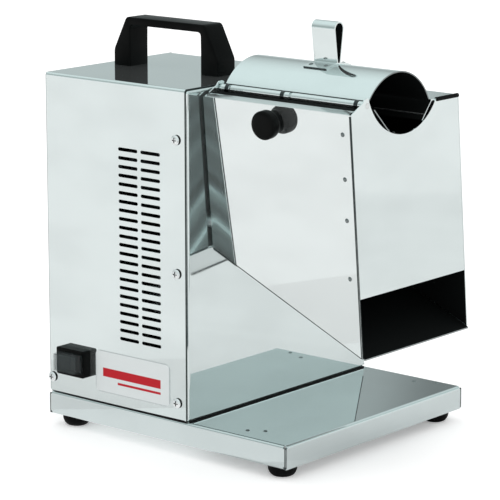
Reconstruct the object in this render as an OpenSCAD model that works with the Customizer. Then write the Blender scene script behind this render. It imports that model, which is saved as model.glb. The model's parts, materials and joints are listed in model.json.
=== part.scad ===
// Electric corn grater, in millimetres, +Z up.
// The parts are drawn from the tray's near corner at the motor end: X runs to the outlet,
// Y to the far side, and Z is 0 on the tray's top. placed() then moves the bottom centre
// of the whole machine to the origin.

/* [Tray] */
// Length of the tray
tray_l = 313; // [290:1:360]
// Depth of the tray
tray_d = 287; // [270:1:320]
// Height of the tray's skirt
tray_skirt = 24; // [18:1:36]
// Thickness of the tray's sheet
tray_t = 1.5; // [1:0.1:2]
// Outer radius of the tray's bends
tray_bend = 3; // [2.2:0.1:6]
// Width of the flanges folded in under the tray
tray_flange = 36; // [34:1:60]
// Gap of the open seam at the tray's corners
corner_gap = 0.4; // [0.2:0.1:1]
// Diameter of a rubber foot
foot_d = 28; // [24:1:32]
// Height of a rubber foot
foot_h = 12; // [10:0.5:20]
// Distance from the tray's edges to a foot's centre
foot_inset = 19.5; // [18:0.5:24]

/* [Housing] */
// Length of the motor housing
house_l = 189; // [180:1:220]
// Height of the motor housing above the tray
house_h = 330; // [325:1:380]
// Depth of the housing at its top
house_top_d = 190; // [170:1:220]
// Thickness of the housing's sheet
sheet = 1.2; // [0.8:0.1:1.8]
// Outer radius of the housing's bends
house_bend = 3; // [2.4:0.1:6]
// Radius of the top cover's far corner
far_corner_r = 8; // [5:0.5:14]
// Gap between the tray and the bottom edges of the panels
panel_gap = 1.5; // [1:0.5:4]
// How far the end plates stand out of the panels
plate_step = 2; // [1:0.5:4]
// Width of the end plates' flanges
plate_flange = 18; // [14:1:24]
// Width of the end plates' top flanges
top_flange = 10; // [8:1:12]

/* [Side panel] */
// Length of a vent slot
vent_l = 25.6; // [16:0.2:28]
// Width of a vent slot
vent_w = 3.5; // [1.5:0.1:4]
// Number of vent rows
vent_rows = 23; // [5:1:24]
// Distance from row to row
vent_pitch = 8.71; // [6:0.01:9.2]
// Distance from the motor end to the first column of vents
vent_x = 99.7; // [80:0.1:105]
// Gap between the two columns of vents
vent_gap = 4; // [2:0.1:10]
// Height of the top row of vents
vent_top = 263; // [250:1:290]
// Length of the label plate
label_l = 100; // [60:1:105]
// Height of the label plate
label_h = 43; // [30:1:50]
// Thickness of the label plate
label_t = 0.4; // [0.2:0.1:1]
// Distance from the motor end to the label plate
label_x = 66; // [64:1:75]
// Height of the label plate's lower edge
label_z = 12; // [6:1:16]
// Corner radius of the label plate
label_r = 6; // [2:0.5:12]

/* [Fasteners] */
// Diameter of the cover, handle and foot screws
screw_d = 5; // [4:0.5:6]
// Diameter of a pan head
screw_head_d = 10; // [9:0.5:12]
// Height of a pan head
screw_head_h = 3.2; // [2.5:0.1:4]
// Diameter of the frame bolts
bolt_d = 6; // [5:0.5:8]
// Width across flats of a frame bolt's head and nut
bolt_af = 10; // [9:0.5:13]
// Height of a frame bolt's head and nut
bolt_head_h = 4; // [3:0.5:6]
// Radial clearance of a fastener in its hole
hole_fit = 0.15; // [0.05:0.05:0.4]
// Diameter of a rivet's head
rivet_d = 5; // [3:0.5:7]
// Height of a rivet's head
rivet_h = 1; // [0.6:0.1:2]

/* [Handle] */
// Length of the carrying handle at its base
handle_l = 139; // [124:1:150]
// Length of the handle's flat top
handle_top_l = 105; // [92:1:112]
// Depth of the handle
handle_d = 28; // [20:1:36]
// Height of the handle
handle_h = 50; // [44:1:60]
// Thickness of the handle's grip bar
grip_t = 8; // [6:0.5:12]
// Width of a handle leg
leg_w = 22; // [16:1:26]
// Height at which the legs' outer faces start to lean in
handle_shoulder = 16; // [8:1:24]
// Distance from the motor end to the handle's middle
handle_x = 87; // [76:1:110]
// Distance from the near side to the handle's middle
handle_y = 97; // [60:1:120]
// Depth of the screw holes in the handle's legs
handle_hole = 14; // [8:1:20]

/* [Switch] */
// Length of the switch bezel
bezel_l = 38; // [38:1:41]
// Height of the switch bezel
bezel_h = 28; // [26:1:30]
// How far the bezel stands out
bezel_t = 9.5; // [9:0.5:13]
// Distance from the motor end to the switch's middle
switch_x = 39; // [38:1:43]
// Height of the switch's middle
switch_z = 38; // [36:1:44]
// Wall between the bezel's outside and the rocker's pocket
bezel_wall = 4.5; // [3.5:0.5:5]
// Depth of the switch behind the panel
switch_depth = 24; // [20:1:32]
// Margin of the bezel around the panel's cut-out
bezel_margin = 2.5; // [2:0.5:3]
// Tilt of the rocker each way from level
rocker_tilt = 8; // [5:1:10]
// Gap between the rocker and its pocket
rocker_gap = 0.8; // [0.7:0.1:1.2]
// Diameter of the rocker's pivot pins
rocker_pin_d = 4; // [3:0.5:5]
// Length of a pivot pin in the bezel's wall
rocker_pin_l = 2; // [1:0.5:2.5]
// How far the boot stands out of the bezel
boot_h = 9.5; // [7:0.5:12]
// Wall of the boot
boot_t = 0.8; // [0.5:0.1:1.2]
// Margin of the bezel around the boot
boot_margin = 1.5; // [1:0.5:2]

/* [Chamber] */
// Length of the grating chamber
chamber_l = 179; // [170:1:200]
// Width of the grating chamber
chamber_w = 170; // [160:1:190]
// Height of the chamber's top edge
chamber_top = 321.5; // [319:0.5:324]
// Distance from the near side to the front plate's top edge
chamber_y = 21.3; // [19:0.1:24]
// Lean of the chamber's front and far plates, in degrees
chamber_lean = 5.3; // [2:0.1:6]
// Width of the front plate's flange, folded in at its top
front_flange = 15; // [8:0.5:17]
// Thickness of the chamber's sheet
chamber_t = 1.2; // [1:0.1:1.6]
// Length of the spacers between housing and chamber
spacer_l = 3; // [2:0.5:6]
// Diameter of a spacer
spacer_d = 14; // [12:1:18]
// Height of the chute's lower edge at the housing
chute_high = 169; // [160:1:172]
// Height of the chute's lower edge at the outlet
chute_low = 86; // [80:1:100]
// Height of the outlet's upper edge
outlet_top = 145; // [130:1:160]
// How far the chute floor runs past the outlet
chute_lip = 2; // [1:0.5:4]
// Radius of the mouth's notch
mouth_r = 59; // [54:1:60]
// Distance from the front plate's top edge to the mouth's middle
mouth_y = 83; // [81:1:85]
// Depth of the mouth's lowest point below the chamber's top edge
mouth_low = 27.5; // [24:0.5:28]

/* [Lid] */
// Outer radius of the curved lid
lid_r = 55; // [53:0.5:56]
// Angle of the lid's far edge
lid_far_angle = 25; // [22:1:28]
// Angle of the lid's near edge
lid_near_angle = 149; // [146:1:150]
// Distance from the chamber's top edge down to the lid's centre of curvature
lid_z = 22.5; // [21.5:0.5:23]
// Distance from the mouth's middle to the lid's centre, to the near side
lid_shift = 7.3; // [6.5:0.1:8]
// Diameter of the hinge rod
rod_d = 5; // [4:0.5:5.5]
// Outer diameter of the hinge tube
tube_d = 8; // [7.5:0.5:9]
// Radial clearance of the hinge tube on the rod
tube_fit = 0.08; // [0.04:0.01:0.1]
// Gap between the lid's ends and the chamber's plates
lid_end_gap = 1.5; // [1:0.5:3]
// Width of a gap between two pieces of the hinge tube
tube_split = 3; // [2:0.5:6]
// Length of the hinge tube's first piece at the housing
tube_first = 10; // [6:1:20]
// Radius of the plates' ears around the hinge rod
ear_r = 7; // [6:0.5:8]
// Clearance between parts that rest on each other or pass by
rest_gap = 0.3; // [0.2:0.1:0.5]
// Width of the loop's strip
loop_w = 28; // [20:0.5:40]
// Height of the loop above the lid
loop_h = 41; // [36:1:52]
// Outer radius of the loop's round top
loop_r = 7.2; // [6:0.1:9]
// Half width of the loop's pinched base
loop_base = 2.6; // [2.2:0.1:4]
// Thickness of the loop's strip
loop_t = 1.5; // [1:0.1:1.8]
// Half angle of the loop's feet on the lid
loop_foot_angle = 20; // [16:1:24]
// Distance from the chamber's inner end to the loop's middle
loop_x = 92; // [70:1:110]

/* [Knob] */
// Diameter of the knob's head
knob_d = 28; // [26:1:32]
// Diameter of the knob's base
knob_base_d = 23; // [20:1:25]
// Length of the knob
knob_l = 19.5; // [18:0.5:26]
// Distance from the chamber's inner end to the knob
knob_x = 88; // [70:1:110]
// Distance from the chamber's top edge down to the knob's stud
knob_z = 15.5; // [15:0.5:17]
// Diameter of the knob's stud
stud_d = 6; // [5:0.5:8]
// Depth of the stud in the knob
stud_grip = 12; // [9:0.5:13]
// Clearance of the knob on its stud and above the front plate
knob_fit = 0.05; // [0.03:0.01:0.1]

/* [Drum] */
// Radius of the grating drum
drum_r = 45; // [40:0.5:45]
// Length of the grating drum
drum_l = 146; // [120:1:150]
// Wall of the drum
drum_t = 1.6; // [1.2:0.1:2.5]
// Thickness of the drum's end discs
disc_t = 6; // [4:0.5:10]
// Gap between the chamber's inner plate and the drum
drum_gap = 12; // [10:1:14]
// Distance from the front plate's top edge to the drum's axis
drum_dy = 86.7; // [84:0.1:89]
// Distance from the chamber's top edge down to the drum's axis
drum_z = 74.5; // [74.5:0.5:77]
// Diameter of the drum shaft
shaft_d = 17; // [15:0.5:18]
// Width across flats of the drum nut
drum_nut_af = 24; // [22:1:27]
// Height of the drum nut
drum_nut_h = 9; // [6:0.5:10]
// Radial clearance of a turning shaft in its bearing or seal
run_fit = 0.05; // [0.02:0.01:0.1]
// Diameter of the shaft seal
seal_d = 36; // [32:1:40]

/* [Drive] */
// Outer diameter of a shaft bearing
bearing_d = 40; // [36:1:44]
// Width of a shaft bearing
bearing_w = 12; // [10:0.5:14]
// Outer diameter of the bearing housing's tube
hub_d = 60; // [54:1:64]
// Length of the bearing housing
hub_l = 106; // [90:1:110]
// Diameter of the bearing housing's flange
hub_flange_d = 96; // [90:1:100]
// Thickness of the bearing housing's flange
hub_flange_t = 8; // [6:0.5:10]
// Bolt circle of the bearing housing
hub_pcd = 78; // [76:1:80]
// Outer radius of the driven pulley
driven_r = 46; // [40:1:50]
// Outer radius of the motor pulley
motor_pulley_r = 32; // [28:1:38]
// Width of a pulley
pulley_w = 20; // [18:1:22]
// Distance from the motor end to the pulleys' middle
pulley_x = 50; // [46:1:54]
// Width of the belt's outer face
belt_w = 11; // [9:0.5:12]
// Width of the belt's inner face
belt_in_w = 7; // [5:0.5:8]
// Thickness of the belt
belt_h = 7; // [5:0.5:8]
// Clearance of the belt in its grooves
belt_gap = 0.3; // [0.2:0.1:0.5]

/* [Motor] */
// Outer radius of the motor
motor_r = 60; // [54:1:64]
// Wall of the motor's shell
motor_t = 4; // [3:0.5:6]
// Length of the motor's shell
motor_l = 68; // [60:1:74]
// Distance from the drive end plate to the far end of the motor's shell
motor_x = 97; // [95:1:99]
// Thickness of a motor end bell
bell_t = 11; // [8:0.5:12]
// Distance from the near side to the motor's axis
motor_y = 128; // [110:1:150]
// Height of the motor's axis
motor_z = 88; // [82:1:96]
// Diameter of the motor shaft
motor_shaft_d = 14; // [12:0.5:16]
// Radius of the rotor's core
rotor_r = 34; // [28:0.5:40]
// Air gap between rotor and stator
air_gap = 0.5; // [0.3:0.1:1]
// Length of the rotor's and stator's cores
core_l = 44; // [36:1:46]
// Thickness of the cradle's plates
cradle_t = 5; // [4:0.5:8]
// Width of the motor cradle
cradle_w = 130; // [110:1:140]
// Length of the motor cradle
cradle_l = 84; // [76:1:88]
// Diameter of the run capacitor
capacitor_d = 38; // [30:1:42]
// Length of the run capacitor
capacitor_l = 72; // [50:1:90]
// Distance from the tray's far edge to the capacitor's axis
capacitor_y = 55; // [49:1:59]
// Gap between the capacitor and the terminal block
capacitor_gap = 8; // [6:1:14]

/* [Hidden] */
$fn = 72;
steel = [0.80, 0.82, 0.81];
bright = [0.88, 0.89, 0.88];
black = [0.06, 0.06, 0.07];
dark = [0.25, 0.26, 0.28];
zinc = [0.70, 0.71, 0.72];
cast = [0.55, 0.57, 0.60];
copper = [0.72, 0.42, 0.24];

// Overall box, and the origin at its bottom centre
gland_out = 12;
boot_y = -bezel_t - boot_h;
chamber_x0 = house_l + spacer_l;
chamber_x1 = chamber_x0 + chamber_l;
box_x0 = -gland_out;
box_x1 = chamber_x1 + chute_lip;
box_y0 = boot_y;
box_y1 = tray_d;
floor_z = -tray_skirt - foot_h;

// Housing lines
far_slope = (tray_d - house_top_d) / house_h;
far_angle = atan(far_slope);
panel_x0 = plate_step;
panel_x1 = house_l - plate_step;
function house_far_y(z) = house_top_d + (house_h - z) * far_slope;
// Same line, moved in by the panel's thickness
function house_in_y(z) = house_far_y(z) - sheet / cos(far_angle);

// Chamber lines: outer faces of the leaning plates and the chute's lower edge
lean_slope = tan(chamber_lean);
lean_t = chamber_t / cos(chamber_lean);
function front_y(z) = chamber_y + (chamber_top - z) * lean_slope;
function far_y(z) = front_y(z) + chamber_w;
chute_slope = (chute_high - chute_low) / chamber_l;
chute_t = chamber_t * norm([1, chute_slope]);
function chute_z(x) = chute_high - (x - chamber_x0) * chute_slope;
outer_x = chamber_x1 - chamber_t;
outer_flange = 16;
// The outer plate stays this far back from its own flange's faces
plate_seam = 0.2;
inner_x = chamber_x0 + chamber_t;
mouth_cy = chamber_y + mouth_y;
mouth_cz = chamber_top - mouth_low + mouth_r;
knob_cz = chamber_top - knob_z;
drum_cz = chamber_top - drum_z;

// Lid, hinge and guides
lid_y = mouth_cy - lid_shift;
lid_cz = chamber_top - lid_z;
lid_in_r = lid_r - chamber_t;
lid_weld = 1;
// Angle from the lid's edges to the corners of its end wall
wall_inset = 2;
seat = 0.05;
// The loop's legs reach this far into its round top, and are this much slimmer on each face
loop_lap = 0.8;
loop_seam = 0.1;
hinge_y = lid_y + lid_r * cos(lid_near_angle) - tube_d / 2 + lid_weld;
hinge_z = lid_cz + lid_r * sin(lid_near_angle);
lid_x0 = inner_x + lid_end_gap;
lid_x1 = outer_x - lid_end_gap;
shelf_z = lid_cz + lid_in_r * sin(lid_far_angle) - rest_gap;
// Guides: the near one's foot above and below the stud, its edge, and the far one's slope and foot
guide_rise = 8;
guide_fall = 14;
guide_near_x = lid_y - 15;
guide_near_drop = 21.5;
guide_far_run = [-15, -18];
guide_far_foot = 16;
stud_nut_af = bolt_af;
stud_nut_h = bolt_head_h;

// Drive train
drum_y = chamber_y + drum_dy;
drum_x0 = inner_x + drum_gap;
drum_x1 = drum_x0 + drum_l;
hub_x1 = house_l - sheet;
hub_x0 = hub_x1 - hub_l;
pulley_x0 = pulley_x - pulley_w / 2;
belt_top = 0.5;
groove_h = belt_h + belt_top + 1.2;
// The belt's straights reach this far into its bends, and are this much slimmer on each face
belt_lap = 1.5;
belt_seam = 0.15;
belt_c = norm([motor_y - drum_y, motor_z - drum_cz]);
belt_angle = atan2(motor_z - drum_cz, motor_y - drum_y);
belt_theta = acos((driven_r - motor_pulley_r) / belt_c);
belt_run = sqrt(belt_c * belt_c - pow(driven_r - motor_pulley_r, 2));
motor_x0 = house_l - motor_x;
motor_x1 = motor_x0 + motor_l;
core_x = motor_x0 + (motor_l - core_l) / 2;
terminal_l = 36;
terminal_gap = 2;
terminal_x = house_l - plate_flange - terminal_l - terminal_gap;
capacitor_cy = tray_d - capacitor_y;
capacitor_tip = 3;
capacitor_x = terminal_x - capacitor_gap - capacitor_l - capacitor_tip;

// Places of the repeated fasteners
// Panel screws from the drive end and the motor end, and up from the tray
screw_in = 13;
screw_low = [5.5, 16];
screws_z = [18, 148, 280];
panel_screws = concat([screw_low], [for (z = screws_z) [house_l - screw_in, z]]);
// Chamber bolts from the drum's axis: up and down, and to the sides in the high and low pairs
bolt_rise = 29;
bolt_fall = 51;
bolt_side = 62;
bolt_low_near = 66;
bolt_low_far = 72;
chamber_bolts_yz = [[drum_y - bolt_side, drum_cz + bolt_rise], [drum_y + bolt_side, drum_cz + bolt_rise],
  [drum_y - bolt_low_near, drum_cz - bolt_fall], [drum_y + bolt_low_far, drum_cz - bolt_fall]];
// End plate bolts from the tray's near and far edges
plate_bolt_near = 40;
plate_bolt_far = 50;
plate_bolts_y = [plate_bolt_near, tray_d - plate_bolt_far];
// Tray rivets from the outlet end, and from the near or far edge
mark_x = [63, 48, 48, 26];
mark_near = [19, 28];
mark_far = [17, 8];
tray_marks = [[tray_l - mark_x[0], mark_near[0]], [tray_l - mark_x[1], mark_near[1]],
  [tray_l - mark_x[2], tray_d - mark_far[0]], [tray_l - mark_x[3], tray_d - mark_far[1]]];
// Front rivets above the outlet's upper edge, and below the chamber's top
rivet_low = 19;
rivet_drops = [101, 61.5, 19];
front_rivets_z = concat([outlet_top + rivet_low], [for (d = rivet_drops) chamber_top - d]);
gland_far = 61;
gland_y = tray_d - gland_far;
gland_z = 42;
gland_d = 16;
foot_recess = 5;

// Helpers

module placed() {
  translate([-(box_x0 + box_x1) / 2, -(box_y0 + box_y1) / 2, -floor_z]) children();
}

// Extrudes a drawing in Y and Z from x0 to x1
module along_x(x0, x1) {
  translate([x0, 0, 0]) rotate([90, 0, 90]) linear_extrude(x1 - x0) children();
}

// Extrudes a drawing in X and Z from y0 to y1
module along_y(y0, y1) {
  translate([0, y1, 0]) rotate([90, 0, 0]) linear_extrude(y1 - y0) children();
}

// Turns a drawing of radius and X about the line at y, z
module lathe_x(y, z) {
  translate([0, y, z]) rotate([0, 90, 0]) rotate_extrude() children();
}

module rod_x(x0, x1, y, z, d) {
  along_x(x0, x1) translate([y, z]) circle(d = d);
}

module rounded_rect(w, h, r) {
  translate([r, 0]) square([w - 2 * r, h]);
  translate([0, r]) square([w, h - 2 * r]);
  for (x = [r, w - r], y = [r, h - r]) translate([x, y]) circle(r);
}

// Part of a ring between two angles
module arc_band(r_out, r_in, a0, a1) {
  steps = ceil((a1 - a0) / 45);
  intersection() {
    difference() {
      circle(r_out);
      circle(r_in);
    }
    polygon(concat([[0, 0]], [for (i = [0 : steps]) 2 * r_out * [
      cos(a0 + (a1 - a0) * i / steps), sin(a0 + (a1 - a0) * i / steps)]]));
  }
}

// Flat strip between two points, with its thickness to the left of the way from a to b
module strip(a, b, t) {
  d = (b - a) / norm(b - a);
  n = [-d[1], d[0]] * t;
  polygon([a, b, b + n, a + n]);
}

// Sheet folded along one line: face on X = 0, flange on Y = 0
module fold_profile(t, r, flange) {
  translate([r, r]) arc_band(r, r - t, 180, 270);
  translate([r, 0]) square([flange - r, t]);
}

// Screw with its head's seat at Z = 0, head up and shank down
module pan_screw(d, l) {
  cross_l = screw_head_d * 0.54;
  cross_w = 1.2;
  difference() {
    union() {
      rotate_extrude() polygon([[0, 0], [screw_head_d / 2, 0], [screw_head_d / 2, screw_head_h * 0.45],
        [screw_head_d * 0.36, screw_head_h * 0.85], [screw_head_d * 0.2, screw_head_h], [0, screw_head_h]]);
      translate([0, 0, -l]) cylinder(d = d, h = l + 0.1);
    }
    for (a = [0, 90]) rotate(a)
      translate([-cross_l / 2, -cross_w / 2, screw_head_h * 0.45]) cube([cross_l, cross_w, screw_head_h]);
  }
}

module hex_nut(d, af, h) {
  difference() {
    cylinder(d = af / cos(30), h = h, $fn = 6);
    translate([0, 0, -1]) cylinder(d = d + 2 * hole_fit, h = h + 2);
  }
}

// Hex bolt with its head's seat at Z = 0, and a nut under the grip
module bolt_and_nut(d, af, h, grip) {
  cylinder(d = af / cos(30), h = h, $fn = 6);
  translate([0, 0, -grip - h - 1]) cylinder(d = d, h = grip + h + 1.1);
  translate([0, 0, -grip - h]) hex_nut(d, af, h);
}

// Puts local +Z along the outward normal of the front plate, at its outer face
module on_front(x, z) {
  translate([x, front_y(z), z]) rotate([90 + chamber_lean, 0, 0]) children();
}

// Puts local +Z along the outward normal of the far panel, at its outer face
module on_far_panel(x, z) {
  translate([x, house_far_y(z), z]) rotate([far_angle - 90, 0, 0]) children();
}

// Tray and feet

module tray_profile(w) {
  for (side = [0, 1]) translate([side * w, 0]) mirror([side, 0]) {
    translate([tray_bend, -tray_bend]) arc_band(tray_bend, tray_bend - tray_t, 90, 180);
    translate([0, -tray_skirt + tray_bend]) square([tray_t, tray_skirt - 2 * tray_bend]);
  }
  translate([tray_bend, -tray_t]) square([w - 2 * tray_bend, tray_t]);
}

// Flange folded in under a skirt
module tray_return(w) {
  for (side = [0, 1]) translate([side * w, 0]) mirror([side, 0]) {
    translate([tray_bend, -tray_skirt + tray_bend]) arc_band(tray_bend, tray_bend - tray_t, 180, 270);
    translate([tray_bend, -tray_skirt]) square([tray_flange - tray_bend, tray_t]);
  }
}

module each_foot() {
  for (x = [foot_inset, tray_l - foot_inset], y = [foot_inset, tray_d - foot_inset])
    translate([x, y, -tray_skirt]) children();
}

module base_tray() {
  color(bright) placed() difference() {
    union() {
      along_x(tray_bend, tray_l - tray_bend) {
        tray_profile(tray_d);
        tray_return(tray_d);
      }
      along_y(tray_bend, tray_d - tray_bend) tray_profile(tray_l);
      for (y = [0, tray_d - tray_t])
        translate([0, y, -tray_skirt + tray_bend]) cube([tray_l, tray_t, tray_skirt - 2 * tray_bend]);
      for (x = [0, tray_l - tray_t])
        translate([x, tray_t + corner_gap, -tray_skirt])
          cube([tray_t, tray_d - 2 * (tray_t + corner_gap), tray_skirt - tray_bend]);
    }
    each_foot() translate([0, 0, -1]) cylinder(d = screw_d + 2 * hole_fit, h = tray_t + 2);
    each_plate_bolt() cylinder(d = bolt_d + 2 * hole_fit, h = 20, center = true);
    each_cradle_bolt() cylinder(d = bolt_d + 2 * hole_fit, h = 20, center = true);
  }
}

module rubber_feet() {
  color(black) placed() each_foot() difference() {
    translate([0, 0, -foot_h]) cylinder(d1 = foot_d - 3, d2 = foot_d, h = foot_h);
    translate([0, 0, -foot_h - 1]) cylinder(d = screw_head_d + 2, h = foot_recess + 1);
    translate([0, 0, -foot_h]) cylinder(d = screw_d + 2 * hole_fit, h = foot_h + 1);
  }
}

module foot_screws() {
  grip = foot_h - foot_recess + tray_t;
  color(zinc) placed() each_foot() translate([0, 0, -foot_h + foot_recess]) rotate([180, 0, 0]) {
    pan_screw(screw_d, grip + bolt_head_h + 1);
    translate([0, 0, -grip - bolt_head_h]) hex_nut(screw_d, bolt_af, bolt_head_h);
  }
}

module rivet_head() {
  rotate_extrude() intersection() {
    translate([0, rivet_h - rivet_d / 1.6]) circle(rivet_d / 1.6);
    square([rivet_d / 2, rivet_h]);
  }
}

module tray_rivets() {
  color(steel) placed() for (p = tray_marks) translate([p[0], p[1], 0]) rivet_head();
}

// Housing

module each_plate_bolt() {
  for (x = [plate_flange * 0.65, house_l - plate_flange * 0.65], y = plate_bolts_y)
    translate([x, y, 0]) children();
}

module each_panel_screw() {
  for (p = panel_screws) translate([p[0], 0, p[1]]) rotate([90, 0, 0]) children();
}

module each_far_screw() {
  for (p = panel_screws) on_far_panel(p[0], p[1]) children();
}

module screw_hole() {
  cylinder(d = screw_d + 2 * hole_fit, h = 30, center = true);
}

module slot(l, w) {
  translate([w / 2, -w / 2]) square([l - w, w]);
  for (x = [w / 2, l - w / 2]) translate([x, 0]) circle(d = w);
}

module side_panel() {
  cut_l = bezel_l - 2 * bezel_margin;
  cut_h = bezel_h - 2 * bezel_margin;
  color(bright) placed() difference() {
    along_y(0, sheet) difference() {
      translate([panel_x0, panel_gap]) square([panel_x1 - panel_x0, house_h - house_bend - panel_gap]);
      for (col = [0, 1], row = [0 : vent_rows - 1])
        translate([vent_x + col * (vent_l + vent_gap), vent_top - row * vent_pitch]) slot(vent_l, vent_w);
      translate([switch_x - cut_l / 2, switch_z - cut_h / 2]) square([cut_l, cut_h]);
    }
    each_panel_screw() screw_hole();
  }
}

module top_cover() {
  r = far_corner_r;
  // Middle of the far corner's round, level with the top and on the sloping side
  far_cz = house_h - r;
  far_cy = house_far_y(far_cz) - r / cos(far_angle);
  color(bright) placed() difference() {
    along_x(panel_x0, panel_x1) {
      translate([house_bend, house_h - house_bend]) arc_band(house_bend, house_bend - sheet, 90, 180);
      translate([house_bend, house_h - sheet]) square([far_cy - house_bend, sheet]);
      translate([far_cy, far_cz]) arc_band(r, r - sheet, far_angle, 90);
    }
    each_handle_screw() screw_hole();
  }
}

module far_panel() {
  r = far_corner_r;
  far_cz = house_h - r;
  far_cy = house_far_y(far_cz) - r / cos(far_angle);
  n = [cos(far_angle), sin(far_angle)];
  top_out = [far_cy, far_cz] + r * n;
  low_out = [house_far_y(panel_gap), panel_gap];
  color(bright) placed() difference() {
    along_x(panel_x0, panel_x1)
      polygon([low_out, top_out, top_out - sheet * n, [house_in_y(panel_gap), panel_gap]]);
    each_far_screw() screw_hole();
  }
}

// End plate with its face on X = 0 and its flanges folded in to +X
module end_plate() {
  r = house_bend;
  top = house_h - sheet;
  far_len = (house_h - 3 * far_corner_r) / cos(far_angle);
  along_x(0, sheet) polygon([
    [sheet + r, r], [house_in_y(r) - r / cos(far_angle), r],
    [house_in_y(top - far_corner_r) - r / cos(far_angle), top - far_corner_r],
    [house_in_y(top - r) - far_corner_r, top - r], [sheet + r, top - r]]);
  translate([0, sheet, 2 * r]) linear_extrude(top - 4 * r) fold_profile(sheet, r, plate_flange);
  along_y(2 * sheet + r, house_in_y(r) - 2 * r) fold_profile(sheet, r, plate_flange);
  translate([0, 0, top]) mirror([0, 0, 1])
    along_y(2 * sheet + r, house_in_y(top) - far_corner_r - r) fold_profile(sheet, r, top_flange);
  translate([0, house_in_y(0), 0]) rotate([far_angle, 0, 0]) translate([0, 0, 4 * r])
    linear_extrude(far_len - 4 * r) mirror([0, 1, 0]) fold_profile(sheet, r, plate_flange);
}

module drive_end_plate() {
  color(bright) placed() difference() {
    translate([house_l, 0, 0]) mirror([1, 0, 0]) end_plate();
    rod_x(house_l - 10, house_l + 5, drum_y, drum_cz, shaft_d + 12);
    each_hub_bolt() cylinder(d = bolt_d + 2 * hole_fit, h = 40, center = true);
    each_chamber_bolt() cylinder(d = bolt_d + 2 * hole_fit, h = 40, center = true);
    each_plate_bolt() cylinder(d = bolt_d + 2 * hole_fit, h = 20, center = true);
    each_panel_screw() screw_hole();
    each_far_screw() screw_hole();
  }
}

module rear_end_plate() {
  color(bright) placed() difference() {
    end_plate();
    rod_x(-5, 10, gland_y, gland_z, gland_d + 2 * hole_fit);
    each_plate_bolt() cylinder(d = bolt_d + 2 * hole_fit, h = 20, center = true);
    each_panel_screw() screw_hole();
    each_far_screw() screw_hole();
  }
}

module plate_bolts() {
  color(zinc) placed() each_plate_bolt()
    translate([0, 0, sheet]) bolt_and_nut(bolt_d, bolt_af, bolt_head_h, sheet + tray_t);
}

module cover_screws() {
  color(bright) placed() {
    each_panel_screw() pan_screw(screw_d, 2 * sheet + 4);
    each_far_screw() pan_screw(screw_d, 2 * sheet + 4);
  }
}

// Handle

module each_handle_screw() {
  for (side = [-1, 1]) translate([handle_x + side * (handle_l - leg_w) / 2, handle_y, house_h - sheet])
    rotate([180, 0, 0]) children();
}

module carry_handle() {
  half = handle_l / 2;
  top_half = handle_top_l / 2;
  open = half - leg_w;
  r = 5;
  color(black) placed() difference() {
    translate([handle_x, 0, house_h])
      along_y(handle_y - handle_d / 2, handle_y + handle_d / 2) difference() {
        polygon([[-half, 0], [half, 0], [half, handle_shoulder], [top_half, handle_h],
          [-top_half, handle_h], [-half, handle_shoulder]]);
        translate([-open, -r]) rounded_rect(2 * open, handle_h - grip_t + r, r);
      }
    each_handle_screw() translate([0, 0, -sheet - handle_hole])
      cylinder(d = screw_d + 2 * hole_fit, h = handle_hole + sheet);
  }
}

module handle_screws() {
  color(zinc) placed() each_handle_screw() pan_screw(screw_d, sheet + handle_hole - 2);
}

// Switch, label and cable inlet

module at_switch() {
  translate([switch_x, 0, switch_z]) children();
}

module switch_body() {
  pocket_l = bezel_l - 2 * bezel_wall;
  pocket_h = bezel_h - 2 * bezel_wall;
  body_l = bezel_l - 2 * bezel_margin - 1;
  body_h = bezel_h - 2 * bezel_margin - 1;
  color(black) placed() at_switch() {
    difference() {
      union() {
        along_y(-bezel_t, 0) translate([-bezel_l / 2, -bezel_h / 2]) rounded_rect(bezel_l, bezel_h, 2);
        translate([-body_l / 2, -0.1, -body_h / 2]) cube([body_l, switch_depth + 0.1, body_h]);
      }
      translate([-pocket_l / 2, -bezel_t - 1, -pocket_h / 2]) cube([pocket_l, bezel_t + 6, pocket_h]);
      translate([0, -bezel_t / 2, 0])
        cylinder(d = rocker_pin_d + 2 * run_fit, h = pocket_h + 2 * rocker_pin_l + 1, center = true);
    }
    for (x = [-10, 0, 10])
      translate([x - 0.4, switch_depth - 0.1, -3]) cube([0.8, 8.1, 6]);
  }
}

// Rocker about its pivot, tipped to off: its motor end stands out
module switch_rocker() {
  half = bezel_l / 2 - bezel_wall - rocker_gap - bezel_t / 2 * sin(rocker_tilt);
  depth = bezel_h - 2 * bezel_wall;
  h = depth - 2 * rocker_gap;
  rise = bezel_t / 2 + 2;
  color(dark) placed() at_switch() translate([0, -bezel_t / 2, 0]) rotate([0, 0, rocker_tilt]) {
    translate([0, 0, -h / 2]) linear_extrude(h) polygon([[-half, -rise], [0, -rise + 2.6], [half, -rise],
      [half * 0.92, 2], [0, 6], [-half * 0.92, 2]]);
    cylinder(d = rocker_pin_d, h = depth + 2 * rocker_pin_l, center = true);
  }
}

module switch_boot() {
  l = bezel_l - 2 * boot_margin;
  h = bezel_h - 2 * boot_margin;
  r = 3;
  color([0.55, 0.6, 0.6, 0.4]) placed() at_switch() difference() {
    along_y(boot_y, -bezel_t) translate([-l / 2, -h / 2]) rounded_rect(l, h, r);
    along_y(boot_y + boot_t, -bezel_t + 1) translate([-l / 2 + boot_t, -h / 2 + boot_t])
      rounded_rect(l - 2 * boot_t, h - 2 * boot_t, r - boot_t);
  }
}

module label_plate() {
  color([0.92, 0.92, 0.93]) placed()
    along_y(-label_t, 0) translate([label_x, label_z]) rounded_rect(label_l, label_h, label_r);
}

module cable_gland() {
  r = gland_d / 2;
  color(black) placed() lathe_x(gland_y, gland_z) polygon([
    [4, -gland_out], [r - 1, -gland_out], [r + 4, -gland_out + 5], [r + 4, 0], [r, 0], [r, sheet],
    [r + 4, sheet], [r + 4, sheet + 6], [r, sheet + 8], [4, sheet + 8]]);
}

// Motor

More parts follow.
